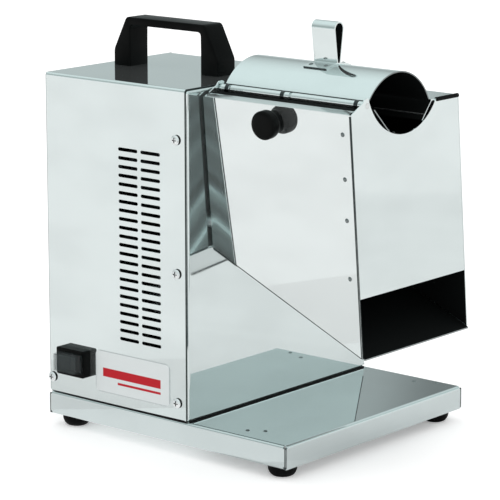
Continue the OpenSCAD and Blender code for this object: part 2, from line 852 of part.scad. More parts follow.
module motor_shell() {
  color(cast) placed() along_x(motor_x0, motor_x1) translate([motor_y, motor_z]) difference() {
    circle(motor_r);
    circle(motor_r - motor_t);
  }
}

module motor_stator() {
  color(copper) placed() along_x(core_x, core_x + core_l) translate([motor_y, motor_z]) difference() {
    circle(motor_r - motor_t - hole_fit);
    circle(rotor_r + air_gap);
  }
}

// End bell with its outer face on X = 0, and a spigot that centres it in the shell
module motor_bell() {
  wall = 4;
  chamfer = [6, 4];
  boss = 6;
  bore = motor_shaft_d / 2 + run_fit;
  spigot_r = motor_r - motor_t - hole_fit;
  in_r = motor_r - motor_t - wall;
  rotate([0, 90, 0]) rotate_extrude() polygon([
    [bore, 0], [motor_r - chamfer[0], 0], [motor_r, chamfer[1]], [motor_r, bell_t], [spigot_r, bell_t],
    [spigot_r, bell_t + wall], [in_r, bell_t + wall], [in_r, bell_t - wall],
    [bore + boss + wall, bell_t - wall], [bore + boss, bell_t + wall / 2], [bore, bell_t + wall / 2]]);
}

module motor_front_bell() {
  color(cast) placed() translate([motor_x0 - bell_t, motor_y, motor_z]) motor_bell();
}

module motor_rear_bell() {
  color(cast) placed() translate([motor_x1 + bell_t, motor_y, motor_z]) mirror([1, 0, 0]) motor_bell();
}

module each_cradle_bolt() {
  edge = 9;
  for (x = [-1, 1], y = [-1, 1])
    translate([motor_x0 + motor_l / 2 + x * (cradle_l / 2 - edge), motor_y + y * (cradle_w / 2 - edge), 0])
      children();
}

module motor_cradle() {
  mid = motor_x0 + motor_l / 2;
  saddle_inset = 20;
  saddle_w = cradle_w - 2 * saddle_inset;
  color(dark) placed() difference() {
    union() {
      translate([mid - cradle_l / 2, motor_y - cradle_w / 2, 0]) cube([cradle_l, cradle_w, cradle_t]);
      for (x = [motor_x0 + 4, motor_x1 - 4 - cradle_t])
        translate([x, motor_y - saddle_w / 2, 0]) cube([cradle_t, saddle_w, motor_z - motor_r * 0.5]);
    }
    rod_x(motor_x0 - 20, motor_x1 + 20, motor_y, motor_z, 2 * (motor_r + hole_fit));
    each_cradle_bolt() cylinder(d = bolt_d + 2 * hole_fit, h = 40, center = true);
  }
}

module motor_bolts() {
  color(zinc) placed() each_cradle_bolt()
    translate([0, 0, cradle_t]) bolt_and_nut(bolt_d, bolt_af, bolt_head_h, cradle_t + tray_t);
}

module motor_rotor() {
  r = motor_shaft_d / 2;
  color(zinc) placed() lathe_x(motor_y, motor_z) polygon([
    [0, pulley_x0 - 4], [r, pulley_x0 - 4], [r, core_x], [rotor_r, core_x], [rotor_r, core_x + core_l],
    [r, core_x + core_l], [r, motor_x1 + bell_t + 4], [0, motor_x1 + bell_t + 4]]);
}

module motor_fan() {
  r = motor_shaft_d / 2 + hole_fit;
  x0 = core_x + core_l + 1;
  fan_r = motor_r - motor_t - 6;
  fan_w = 5;
  disc = 1.5;
  blade = 1.6;
  blades = 7;
  color(black) placed() translate([x0, motor_y, motor_z]) rotate([0, 90, 0]) difference() {
    union() {
      cylinder(r = r + 4, h = fan_w);
      cylinder(r = fan_r, h = disc);
      for (i = [1 : blades]) rotate(i * 360 / blades) translate([r + 3, -blade / 2, 0])
        cube([fan_r - r - 7, blade, fan_w]);
    }
    translate([0, 0, -1]) cylinder(r = r, h = fan_w + 2);
  }
}

// Pulley with one V groove, around a shaft of diameter d
module v_pulley(r, d) {
  half = pulley_w / 2;
  top = belt_w / 2 + belt_gap + belt_top * (belt_w - belt_in_w) / belt_h / 2;
  low = belt_in_w / 2 + belt_gap - 1.2 * (belt_w - belt_in_w) / belt_h / 2;
  rotate([0, 90, 0]) rotate_extrude() polygon([
    [d / 2 + hole_fit, -half], [r, -half], [r, -top], [r - groove_h, -low], [r - groove_h, low], [r, top],
    [r, half], [d / 2 + hole_fit, half]]);
}

module motor_pulley() {
  color(cast) placed() translate([pulley_x, motor_y, motor_z]) v_pulley(motor_pulley_r, motor_shaft_d);
}

module run_capacitor() {
  r = capacitor_d / 2;
  color([0.85, 0.85, 0.84]) placed() lathe_x(capacitor_cy, r + cradle_t) polygon([
    [0, capacitor_x], [r, capacitor_x], [r, capacitor_x + capacitor_l], [r - 3, capacitor_x + capacitor_l],
    [r - 4, capacitor_x + capacitor_l + capacitor_tip], [0, capacitor_x + capacitor_l + capacitor_tip]]);
}

// Saddle that carries the capacitor on the tray
module capacitor_clip() {
  r = capacitor_d / 2;
  mid = capacitor_x + capacitor_l / 2;
  color(dark) placed() difference() {
    translate([mid - 12, capacitor_cy - r, 0]) cube([24, capacitor_d, cradle_t + r * 0.7]);
    rod_x(mid - 20, mid + 20, capacitor_cy, r + cradle_t, capacitor_d + 2 * hole_fit);
  }
}

module terminal_block() {
  w = 20;
  h = 16;
  poles = 3;
  pitch = terminal_l / poles;
  color([0.9, 0.88, 0.82]) placed() translate([terminal_x, capacitor_cy - w / 2, 0]) difference() {
    cube([terminal_l, w, h]);
    for (i = [0 : poles - 1]) translate([(i + 0.5) * pitch, w / 2, h - 10]) cylinder(d = pitch / 2, h = h);
  }
}

// Belt drive and drum

module belt_section(r, inset = 0) {
  top = r - belt_top - inset;
  low = r - belt_top - belt_h + inset;
  polygon([[low, -belt_in_w / 2 + inset], [top, -belt_w / 2 + inset],
    [top, belt_w / 2 - inset], [low, belt_in_w / 2 - inset]]);
}

// Belt loop in its own plane: the driven pulley is at the origin, the motor's on +X
module drive_belt() {
  color(black) placed() translate([pulley_x, drum_y, drum_cz]) rotate([90, 0, 90]) rotate(belt_angle) {
    rotate(belt_theta) rotate_extrude(angle = 360 - 2 * belt_theta) belt_section(driven_r);
    translate([belt_c, 0, 0]) rotate(-belt_theta)
      rotate_extrude(angle = 2 * belt_theta) belt_section(motor_pulley_r);
    for (side = [0, 1]) mirror([0, side, 0])
      rotate(belt_theta) translate([0, belt_lap, 0]) rotate([90, 0, 0])
        linear_extrude(belt_run + 2 * belt_lap) belt_section(driven_r, belt_seam);
  }
}

module each_hub_bolt() {
  r = hub_pcd / 2;
  for (a = [45 : 90 : 315])
    translate([hub_x1, drum_y + r * cos(a), drum_cz + r * sin(a)]) rotate([0, -90, 0]) children();
}

module bearing_housing() {
  r = bearing_d / 2 + hole_fit;
  bore = r - 3;
  flange_r = hub_flange_d / 2;
  x1 = hub_x1;
  color(cast) placed() difference() {
    lathe_x(drum_y, drum_cz) polygon([
      [r, hub_x0], [hub_d / 2, hub_x0], [hub_d / 2, x1 - hub_flange_t], [flange_r, x1 - hub_flange_t],
      [flange_r, x1], [r, x1], [r, x1 - bearing_w], [bore, x1 - bearing_w],
      [bore, hub_x0 + bearing_w], [r, hub_x0 + bearing_w]]);
    each_hub_bolt() cylinder(d = bolt_d + 2 * hole_fit, h = 60, center = true);
  }
}

// Shaft bearing from x to the outlet side, with a shallow groove in each face
module shaft_bearing(x) {
  r = shaft_d / 2 + run_fit;
  o = bearing_d / 2;
  ring = 2.5;
  slant = 0.5;
  deep = 0.8;
  x1 = x + bearing_w;
  lathe_x(drum_y, drum_cz) polygon([
    [r, x], [r + ring, x], [r + ring + slant, x + deep], [o - ring - slant, x + deep], [o - ring, x],
    [o, x], [o, x1], [o - ring, x1], [o - ring - slant, x1 - deep], [r + ring + slant, x1 - deep],
    [r + ring, x1], [r, x1]]);
}

module front_bearing() {
  color(zinc) placed() shaft_bearing(hub_x1 - bearing_w);
}

module rear_bearing() {
  color(zinc) placed() shaft_bearing(hub_x0);
}

module housing_bolts() {
  color(zinc) placed() each_hub_bolt() translate([0, 0, hub_flange_t]) {
    cylinder(d = bolt_af / cos(30), h = bolt_head_h, $fn = 6);
    translate([0, 0, -hub_flange_t - sheet]) cylinder(d = bolt_d, h = hub_flange_t + sheet + 0.1);
  }
}

module drum_shaft() {
  color(zinc) placed() rod_x(pulley_x0 - 4, drum_x1 + drum_nut_h + 2, drum_y, drum_cz, shaft_d);
}

module driven_pulley() {
  color(cast) placed() translate([pulley_x, drum_y, drum_cz]) v_pulley(driven_r, shaft_d);
}

module grater_drum() {
  bore = shaft_d / 2 + hole_fit;
  in_r = drum_r - drum_t;
  color(bright) placed() lathe_x(drum_y, drum_cz) polygon([
    [bore, drum_x0], [drum_r, drum_x0], [drum_r, drum_x1], [bore, drum_x1], [bore, drum_x1 - disc_t],
    [in_r, drum_x1 - disc_t], [in_r, drum_x0 + disc_t], [bore, drum_x0 + disc_t]]);
}

module drum_nut() {
  color(bright) placed() translate([drum_x1, drum_y, drum_cz]) rotate([0, 90, 0])
    hex_nut(shaft_d, drum_nut_af, drum_nut_h);
}

module shaft_seal() {
  bore = shaft_d / 2 + run_fit;
  r = seal_d / 2;
  color(black) placed() lathe_x(drum_y, drum_cz) polygon([
    [bore, chamber_x0 - 1.5], [r - 4, chamber_x0 - 1.5], [r - 4, inner_x], [r, inner_x],
    [r, inner_x + 4], [r - 6, inner_x + 5], [bore, inner_x + 5]]);
}

// Grating chamber

// Section of the chamber between heights z0 and z1, moved in by gap on both sides
module chamber_section(z0, z1, gap) {
  polygon([[front_y(z0) + gap, z0], [far_y(z0) - gap, z0], [far_y(z1) - gap, z1], [front_y(z1) + gap, z1]]);
}

// Side view of the chamber, from the chute's lower edge to height top
module chamber_side(top) {
  polygon([[chamber_x0, chute_z(chamber_x0)], [chamber_x1, chute_z(chamber_x1)],
    [chamber_x1, top], [chamber_x0, top]]);
}

// Section of a strip that lies on the inside of the front plate, from height z0 to z1
module front_strip(z0, z1) {
  polygon([[front_y(z0) + lean_t, z0], [front_y(z0) + 2 * lean_t, z0],
    [front_y(z1) + 2 * lean_t, z1], [front_y(z1) + lean_t, z1]]);
}

module each_chamber_bolt() {
  for (p = chamber_bolts_yz) translate([inner_x, p[0], p[1]]) rotate([0, 90, 0]) children();
}

module hinge_ear() {
  root = chamber_top - 6;
  inset = lean_t + 1;
  far = hinge_y + ear_r * 1.3;
  translate([hinge_y, hinge_z]) circle(ear_r);
  polygon([[front_y(root) + inset, root], [front_y(chamber_top) + inset, chamber_top],
    [hinge_y - ear_r * 0.6, hinge_z + ear_r * 0.6], [far, hinge_z], [far, root]]);
}

module hinge_bore() {
  rod_x(chamber_x0 - 1, chamber_x1 + 1, hinge_y, hinge_z, rod_d + 2 * hole_fit);
}

module chamber_inner_plate() {
  color(steel) placed() difference() {
    union() {
      along_x(chamber_x0, inner_x) chamber_section(chute_z(chamber_x0) + chute_t, chamber_top, lean_t);
      along_x(chamber_x0, inner_x) hinge_ear();
    }
    hinge_bore();
    rod_x(chamber_x0 - 5, inner_x + 5, drum_y, drum_cz, seal_d - 8 + 2 * hole_fit);
    each_chamber_bolt() cylinder(d = bolt_d + 2 * hole_fit, h = 40, center = true);
  }
}

module chamber_outer_plate() {
  color(bright) placed() difference() {
    union() {
      along_x(outer_x, chamber_x1) chamber_section(outlet_top, chamber_top, lean_t + plate_seam);
      along_x(outer_x, chamber_x1) hinge_ear();
      along_x(outer_x - outer_flange, outer_x + chamber_t / 2)
        front_strip(outlet_top + plate_seam, chamber_top - 3);
    }
    along_x(outer_x - 1, chamber_x1 + 1) translate([mouth_cy, mouth_cz]) circle(mouth_r);
    hinge_bore();
    each_front_rivet() cylinder(d = 3 + 2 * hole_fit, h = 10, center = true);
  }
}

module chamber_front_plate() {
  color(bright) placed() difference() {
    union() {
      intersection() {
        along_x(chamber_x0, chamber_x1) polygon([
          [front_y(chute_low - 5), chute_low - 5], [front_y(chute_low - 5) + lean_t, chute_low - 5],
          [front_y(chamber_top) + lean_t, chamber_top], [front_y(chamber_top), chamber_top]]);
        along_y(0, tray_d) chamber_side(chamber_top);
      }
      translate([inner_x + rest_gap, front_y(chamber_top) + lean_t / 2, chamber_top - chamber_t])
        cube([outer_x - inner_x - 2 * rest_gap, front_flange - lean_t / 2, chamber_t]);
    }
    on_front(chamber_x0 + knob_x, knob_cz) cylinder(d = stud_d + 2 * hole_fit, h = 10, center = true);
    each_front_rivet() cylinder(d = 3 + 2 * hole_fit, h = 10, center = true);
  }
}

module chamber_far_plate() {
  top = shelf_z;
  color(steel) placed() intersection() {
    along_x(chamber_x0, chamber_x1) polygon([
      [far_y(chute_low - 5) - lean_t, chute_low - 5], [far_y(chute_low - 5), chute_low - 5],
      [far_y(top), top], [far_y(top) - lean_t, top]]);
    along_y(0, tray_d) chamber_side(top);
  }
}

module chute_floor() {
  t = chute_t;
  x1 = chamber_x1 + chute_lip;
  color(bright) placed() intersection() {
    along_x(chamber_x0, x1) chamber_section(chute_low - 10, chute_high + 10, lean_t);
    along_y(0, tray_d) polygon([[chamber_x0, chute_z(chamber_x0)], [x1, chute_z(x1)], [x1, chute_z(x1) + t],
      [chamber_x0, chute_z(chamber_x0) + t]]);
  }
}

module each_front_rivet() {
  for (z = front_rivets_z) on_front(chamber_x1 - 10, z) children();
}

module chamber_rivets() {
  color(steel) placed() each_front_rivet() {
    rivet_head();
    translate([0, 0, -2 * chamber_t - 1]) cylinder(d = 3, h = 2 * chamber_t + 1.1);
  }
}

module chamber_bolts() {
  grip = chamber_t + spacer_l + sheet;
  color(zinc) placed() each_chamber_bolt() bolt_and_nut(bolt_d, bolt_af, bolt_head_h, grip);
}

module chamber_spacers() {
  color(zinc) placed() each_chamber_bolt() translate([0, 0, -chamber_t - spacer_l]) difference() {
    cylinder(d = spacer_d, h = spacer_l);
    translate([0, 0, -1]) cylinder(d = bolt_d + 2 * hole_fit, h = spacer_l + 2);
  }
}

// Guide under the hinge: foot on the front plate, shelf, and a slope that leads to the drum
module near_guide() {
  t = chamber_t;
  low = knob_cz - guide_fall;
  foot_y = front_y(low) + 2 * lean_t;
  edge = [guide_near_x, chamber_top - guide_near_drop];
  top = edge + [-guide_near_drop - 1, guide_near_drop + 1];
  color(steel) placed() difference() {
    union() {
      along_x(inner_x, outer_x - outer_flange) front_strip(low, knob_cz + guide_rise);
      along_x(inner_x, outer_x) {
        translate([foot_y - 0.1, low]) square([edge[0] - foot_y + 0.1, t]);
        strip([edge[0], low], edge, t);
        strip(edge, top, t);
        translate(edge - [0.5, 0]) circle(t / 2 + 0.3);
      }
    }
    on_front(chamber_x0 + knob_x, knob_cz) cylinder(d = stud_d + 2 * hole_fit, h = 20, center = true);
  }
}

// Guide at the far side: shelf under the lid's edge and a slope that leads to the drum
module far_guide() {
  t = chamber_t;
  edge = [lid_y + lid_in_r * cos(lid_far_angle) + 3, shelf_z];
  low = edge + guide_far_run;
  foot_z = shelf_z - guide_far_foot;
  color(steel) placed() along_x(inner_x, outer_x) {
    polygon([[edge[0] - 1, shelf_z - t], [far_y(shelf_z) - lean_t, shelf_z - t],
      [far_y(shelf_z) - lean_t, shelf_z], [edge[0] - 1, shelf_z]]);
    polygon([[far_y(foot_z) - 2 * lean_t, foot_z], [far_y(foot_z) - lean_t, foot_z],
      [far_y(shelf_z) - lean_t, shelf_z], [far_y(shelf_z) - 2 * lean_t, shelf_z]]);
    strip(edge, low, t);
  }
}

// Hinge, lid, loop and knob

module hinge_rod() {
  color(bright) placed() {
    rod_x(chamber_x0, chamber_x1, hinge_y, hinge_z, rod_d);
  }
}

// Wall that closes the lid's end at the housing, between its curve and a chord across it
module lid_end_wall() {
  r = (lid_r + lid_in_r) / 2;
  a0 = lid_far_angle + wall_inset;
  a1 = lid_near_angle - wall_inset;
  right = r * [cos(a0), sin(a0)];
  left = r * [cos(a1), sin(a1)];
  intersection() {
    circle(r);
    strip(left - 0.2 * (right - left), right + 0.2 * (right - left), lid_r);
  }
}

module feed_lid() {
  mid = (lid_x0 + lid_x1) / 2;
  first = lid_x0 + tube_first;
  color(bright) placed() difference() {
    union() {
      along_x(lid_x0, lid_x1) translate([lid_y, lid_cz])
        arc_band(lid_r, lid_in_r, lid_far_angle, lid_near_angle);
      along_x(lid_x0, lid_x0 + chamber_t) translate([lid_y, lid_cz]) lid_end_wall();
      for (x = [[lid_x0, first], [first + tube_split, mid - tube_split / 2], [mid + tube_split / 2, lid_x1]])
        rod_x(x[0], x[1], hinge_y, hinge_z, tube_d);
    }
    rod_x(chamber_x0, chamber_x1, hinge_y, hinge_z, rod_d + 2 * tube_fit);
  }
}

// Strip bent to a loop: a round top, two straight legs that touch it, and feet along the lid
module lid_loop() {
  h = loop_h - loop_r;
  x0 = chamber_x0 + loop_x - loop_w / 2;
  reach = norm([loop_base, h]);
  leg = sqrt(reach * reach - loop_r * loop_r);
  // Angle below level at which a leg touches the round top
  dip = asin(loop_r / reach) - atan2(loop_base, h);
  color(bright) placed() translate([0, lid_y, lid_cz]) {
    along_x(x0, x0 + loop_w)
      arc_band(lid_r + loop_t, lid_r + seat, 90 - loop_foot_angle, 90 + loop_foot_angle);
    translate([0, 0, lid_r + h]) {
      along_x(x0, x0 + loop_w) arc_band(loop_r, loop_r - loop_t, -dip, 180 + dip);
      for (side = [0, 1]) along_x(x0, x0 + loop_w) mirror([side, 0]) rotate(-dip)
        translate([loop_r - loop_t + loop_seam, loop_t / 2 - leg])
          square([loop_t - 2 * loop_seam, leg - loop_t / 2 + loop_lap]);
    }
  }
}

module lid_rivets() {
  a = loop_foot_angle - 6;
  color(steel) placed() for (x = [-9, 9], side = [-1, 1])
    translate([chamber_x0 + loop_x + x, lid_y, lid_cz]) rotate([side * a, 0, 0])
      translate([0, 0, lid_r + loop_t]) rivet_head();
}

module clamp_knob() {
  b = knob_base_d / 2;
  r = knob_d / 2;
  color(black) placed() on_front(chamber_x0 + knob_x, knob_cz) difference() {
    translate([0, 0, rest_gap]) rotate_extrude() {
      polygon([[0, 0], [b, 0], [r, knob_l * 0.55], [r, knob_l * 0.8], [0, knob_l * 0.8]]);
      intersection() {
        translate([0, knob_l - 2.2 * r]) circle(2.2 * r);
        translate([0, knob_l * 0.79]) square([r, knob_l]);
      }
    }
    translate([0, 0, -1]) cylinder(d = stud_d + 2 * knob_fit, h = stud_grip + 1.5);
  }
}

module knob_stud() {
  plates = 2 * chamber_t;
  behind = plates + stud_nut_h + 1;
  color(zinc) placed() on_front(chamber_x0 + knob_x, knob_cz) {
    translate([0, 0, -behind]) cylinder(d = stud_d, h = behind + stud_grip);
    translate([0, 0, -plates - stud_nut_h]) hex_nut(stud_d, stud_nut_af, stud_nut_h);
  }
}

base_tray();
rubber_feet();
foot_screws();
tray_rivets();
side_panel();
top_cover();
far_panel();
drive_end_plate();
rear_end_plate();
plate_bolts();
cover_screws();
carry_handle();
handle_screws();
switch_body();
switch_rocker();
switch_boot();
label_plate();
cable_gland();
motor_shell();
motor_stator();
motor_front_bell();
motor_rear_bell();
motor_cradle();
motor_bolts();
motor_rotor();
motor_fan();
motor_pulley();
run_capacitor();
capacitor_clip();
terminal_block();
drive_belt();
bearing_housing();
front_bearing();
rear_bearing();
housing_bolts();
drum_shaft();
driven_pulley();
grater_drum();
drum_nut();
shaft_seal();
chamber_inner_plate();
chamber_outer_plate();
chamber_front_plate();
chamber_far_plate();
chute_floor();
chamber_rivets();
chamber_bolts();
chamber_spacers();
near_guide();
far_guide();
hinge_rod();
feed_lid();
lid_loop();
lid_rivets();
clamp_knob();
knob_stud();
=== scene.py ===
"""Looks of the electric corn grater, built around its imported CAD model."""

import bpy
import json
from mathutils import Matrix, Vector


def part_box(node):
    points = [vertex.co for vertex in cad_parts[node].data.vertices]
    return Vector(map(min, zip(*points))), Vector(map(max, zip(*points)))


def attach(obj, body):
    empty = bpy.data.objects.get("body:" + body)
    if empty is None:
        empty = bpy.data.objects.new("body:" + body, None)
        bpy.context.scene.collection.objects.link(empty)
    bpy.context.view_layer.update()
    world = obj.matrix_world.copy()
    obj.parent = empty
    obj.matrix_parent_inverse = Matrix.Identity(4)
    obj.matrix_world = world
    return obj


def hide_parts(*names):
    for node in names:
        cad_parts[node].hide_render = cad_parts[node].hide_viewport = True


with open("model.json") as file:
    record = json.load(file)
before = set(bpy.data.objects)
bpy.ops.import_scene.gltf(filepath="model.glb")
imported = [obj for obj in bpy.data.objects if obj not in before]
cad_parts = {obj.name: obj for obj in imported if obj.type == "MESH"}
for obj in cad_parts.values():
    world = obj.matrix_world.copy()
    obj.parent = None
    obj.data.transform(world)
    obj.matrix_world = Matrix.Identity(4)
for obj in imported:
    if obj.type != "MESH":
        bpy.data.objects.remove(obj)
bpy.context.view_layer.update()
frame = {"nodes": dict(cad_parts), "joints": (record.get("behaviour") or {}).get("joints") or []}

import json
import math

import bmesh
import bpy
import numpy as np
from mathutils import Vector

MM = 0.001
nodes = frame["nodes"]
scene = bpy.context.scene


def middle(name):
    """Middle of a CAD node's box, in metres."""
    low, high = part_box(name)
    return (low + high) / 2


# Camera: a long lens beyond the near corner of the drive end, looking a little down

VIEW_AZIMUTH = 40.14
VIEW_ELEVATION = 12.23
VIEW_DISTANCE = 2.599
VIEW_TARGET = Vector((-0.0246, 0.0001, 0.183))
LENS = 184.2
SENSOR_WIDTH = 36.0
CLIP_START, CLIP_END = 0.05, 60.0


def make_camera():
    """Camera on a sphere around its target: back = (sin a cos e, -cos a cos e, sin e)."""
    a, e = math.radians(VIEW_AZIMUTH), math.radians(VIEW_ELEVATION)
    back = Vector((math.sin(a) * math.cos(e), -math.cos(a) * math.cos(e), math.sin(e)))
    data = bpy.data.cameras.new("photo_camera")
    data.sensor_width = SENSOR_WIDTH
    data.lens = LENS
    data.clip_start, data.clip_end = CLIP_START, CLIP_END
    camera = bpy.data.objects.new("photo_camera", data)
    camera.location = VIEW_TARGET + back * VIEW_DISTANCE
    camera.rotation_mode = "QUATERNION"
    camera.rotation_quaternion = (-back).to_track_quat("-Z", "Y")
    scene.collection.objects.link(camera)
    scene.camera = camera


make_camera()
scene.view_settings.view_transform = "Standard"


# Shader helpers

def feed(tree, node, values):
    """Sets a node's inputs, each to a plain value or to another node's output."""
    for key, value in values.items():
        if isinstance(value, bpy.types.NodeSocket):
            tree.links.new(value, node.inputs[key])
        else:
            node.inputs[key].default_value = value


def put(tree, kind, values=None, **settings):
    """One shader node: settings are its options, values its inputs, plain or linked."""
    made = tree.nodes.new(kind)
    for key, value in settings.items():
        setattr(made, key, value)
    feed(tree, made, values or {})
    return made


def calc(tree, operation, a, b=0.0, c=0.0):
    """One Math node's result."""
    return put(tree, "ShaderNodeMath", {0: a, 1: b, 2: c}, operation=operation).outputs[0]


def vector(tree, operation, a, b=(0.0, 0.0, 0.0)):
    """One Vector Math node's outputs."""
    return put(tree, "ShaderNodeVectorMath", {0: a, 1: b}, operation=operation).outputs


def dot(tree, a, b):
    """Dot product of two vectors."""
    return vector(tree, "DOT_PRODUCT", a, b)["Value"]


def parts(tree, whole):
    """X, Y and Z of a vector."""
    return put(tree, "ShaderNodeSeparateXYZ", {"Vector": whole}).outputs


def between(tree, value, low, high, out_low=0.0, out_high=1.0):
    """Value stepped smoothly from out_low at low to out_high at high."""
    limits = {"Value": value, "From Min": low, "From Max": high,
              "To Min": out_low, "To Max": out_high}
    made = put(tree, "ShaderNodeMapRange", limits, interpolation_type="SMOOTHSTEP")
    return made.outputs["Result"]


def tint(tree, factor, a, b):
    """Colour a at factor 0 and b at factor 1."""
    return put(tree, "ShaderNodeMix", {0: factor, 6: a, 7: b}, data_type="RGBA").outputs[2]


def mix(tree, factor, a, b):
    """Number a at factor 0 and b at factor 1."""
    return put(tree, "ShaderNodeMix", {0: factor, 2: a, 3: b}, data_type="FLOAT").outputs[0]


def noise(tree, point, scale, detail=3.0, stretch=None):
    """Noise from 0 to 1, at scale features per metre, stretched along the axes if asked."""
    if stretch is not None:
        made = put(tree, "ShaderNodeMapping", {"Vector": point, "Scale": stretch})
        point = made.outputs["Vector"]
    made = put(tree, "ShaderNodeTexNoise", {"Vector": point, "Scale": scale, "Detail": detail})
    return made.outputs["Fac"]


def bump(tree, height):
    """Normal bent by a height in metres."""
    made = put(tree, "ShaderNodeBump", {"Strength": 1.0, "Distance": 1.0, "Height": height})
    return made.outputs["Normal"]


def new_group(name, inputs, outputs):
    """Empty shader group with a Point and float inputs, and float outputs."""
    group = bpy.data.node_groups.new(name, "ShaderNodeTree")
    group.interface.new_socket("Point", in_out="INPUT", socket_type="NodeSocketVector")
    for key in inputs:
        group.interface.new_socket(key, in_out="INPUT", socket_type="NodeSocketFloat")
    for key in outputs:
        group.interface.new_socket(key, in_out="OUTPUT", socket_type="NodeSocketFloat")
    given = group.nodes.new("NodeGroupInput").outputs
    return group, given, group.nodes.new("NodeGroupOutput").inputs


def rolled_sheet_group():
    """Rolled and polished sheet. Height, in metres, is a slow swell plus fine rolling lines along
    X. Smudge, from 0 to 1, is a cloud of wiping marks."""
    line_stretch = (60.0, 900.0, 900.0)
    wipe_scale, wipe_stretch, wipe_low, wipe_high = 9.0, (1.0, 1.0, 2.2), 0.38, 0.68
    group, given, out = new_group("rolled_sheet", ("Swell", "Swell Depth", "Line Depth"),
                                  ("Height", "Smudge"))
    swell = noise(group, given["Point"], given["Swell"], 1.0)
    lines = noise(group, given["Point"], 1.0, 2.0, line_stretch)
    height = calc(group, "ADD", calc(group, "MULTIPLY", swell, given["Swell Depth"]),
                  calc(group, "MULTIPLY", lines, given["Line Depth"]))
    group.links.new(height, out["Height"])
    wipes = noise(group, given["Point"], wipe_scale, 5.0, wipe_stretch)
    group.links.new(between(group, wipes, wipe_low, wipe_high), out["Smudge"])
    return group


def moulded_grain_group():
    """Moulded plastic or rubber. Height, in metres, is a fine spark-eroded grain; Rub, from 0 to 1,
    is a slow cloud of handling."""
    rub_scale, rub_low, rub_high = 28.0, 0.4, 0.7
    group, given, out = new_group("moulded_grain", ("Grain", "Depth"), ("Height", "Rub"))
    grain = noise(group, given["Point"], given["Grain"], 4.0)
    group.links.new(calc(group, "MULTIPLY", grain, given["Depth"]), out["Height"])
    rub = noise(group, given["Point"], rub_scale, 4.0)
    group.links.new(between(group, rub, rub_low, rub_high), out["Rub"])
    return group


ROLLED_SHEET = rolled_sheet_group()
MOULDED_GRAIN = moulded_grain_group()


def new_material(name):
    """Material with an empty tree, its Principled shader, and its texture coordinates."""
    material = bpy.data.materials.new(name)
    material.use_nodes = True
    tree = material.node_tree
    tree.nodes.clear()
    shader = put(tree, "ShaderNodeBsdfPrincipled")
    put(tree, "ShaderNodeOutputMaterial", {"Surface": shader.outputs["BSDF"]})
    return material, tree, shader, put(tree, "ShaderNodeTexCoord").outputs


# Sheet: the share of a polished face that scatters as a fine haze instead of mirroring, how its
# colour and roughness change where it is wiped, and the black, matt look of painted shade

HAZE = 0.055
SHEET_GLOSS = 0.05
WIPED_COLOUR, WIPED_ROUGH = 0.94, 1.5
# Painted shade: the colour and roughness put on faces that lie in shade
PAINTED_SHADE_COLOUR, PAINTED_SHADE_ROUGH = (0.005, 0.006, 0.006, 1.0), 0.7


def sheet_metal(name, colour, rough, swell=7.0, swell_depth=0.05 * MM, line_depth=0.0012 * MM,
                painted_shade=None):
    """Polished or satin sheet: rough is its roughness where clean, swell the number of slow waves
    in a metre. The mask function given last, called with (tree, coordinates), may give from 0 to 1
    the
    faces on which shade is painted: black, matt and not metal."""
    material, tree, shader, coordinates = new_material(name)
    shape = {"Point": coordinates["Object"], "Swell": swell, "Swell Depth": swell_depth,
             "Line Depth": line_depth}
    sheet = put(tree, "ShaderNodeGroup", shape, node_tree=ROLLED_SHEET).outputs
    wiped = [c * WIPED_COLOUR for c in colour]
    base = tint(tree, sheet["Smudge"], [*colour, 1.0], [*wiped, 1.0])
    roughness = between(tree, sheet["Smudge"], 0.0, 1.0, rough, rough * WIPED_ROUGH)
    metallic = 1.0 - HAZE
    # Where the mask is 1 shade is painted: the face is made black, matt and not metal
    if painted_shade is not None:
        mask = painted_shade(tree, coordinates)
        base = tint(tree, mask, base, PAINTED_SHADE_COLOUR)
        roughness = mix(tree, mask, roughness, PAINTED_SHADE_ROUGH)
        metallic = between(tree, mask, 0.0, 1.0, metallic, 0.0)
    feed(tree, shader, {"Base Color": base, "Metallic": metallic, "Roughness": roughness,
                        "Specular IOR Level": SHEET_GLOSS,
                        "Normal": bump(tree, sheet["Height"])})
    return material


# Masks for sheet_metal: each is 1 on the faces on which shade is painted

def facing(direction, below=None):
    """Mask of the faces whose normal points along direction, up to the height below."""
    def mask(tree, coordinates):
        toward = between(tree, dot(tree, coordinates["Normal"], direction), 0.45, 0.55)
        if below is None:
            return toward
        height = parts(tree, coordinates["Object"])["Z"]
        return calc(tree, "MULTIPLY", toward, between(tree, height, below - MM, below, 1.0, 0.0))
    return mask


def sideways(axis):
    """Mask of painted shade on the faces that stand along axis: a screw head's rim and the walls of
    its cross.
    """
    def mask(tree, coordinates):
        level = calc(tree, "ABSOLUTE", dot(tree, coordinates["Normal"], axis))
        return between(tree, level, 0.4, 0.65, 1.0, 0.0)
    return mask


def behind(direction, start_y):
    """Mask of the faces whose normal points along direction and that lie past start_y."""
    soft = 0.2 * MM

    def mask(tree, coordinates):
        place = parts(tree, coordinates["Object"])["Y"]
        past = between(tree, place, start_y - soft, start_y + soft)
        return calc(tree, "MULTIPLY", facing(direction)(tree, coordinates), past)
    return mask


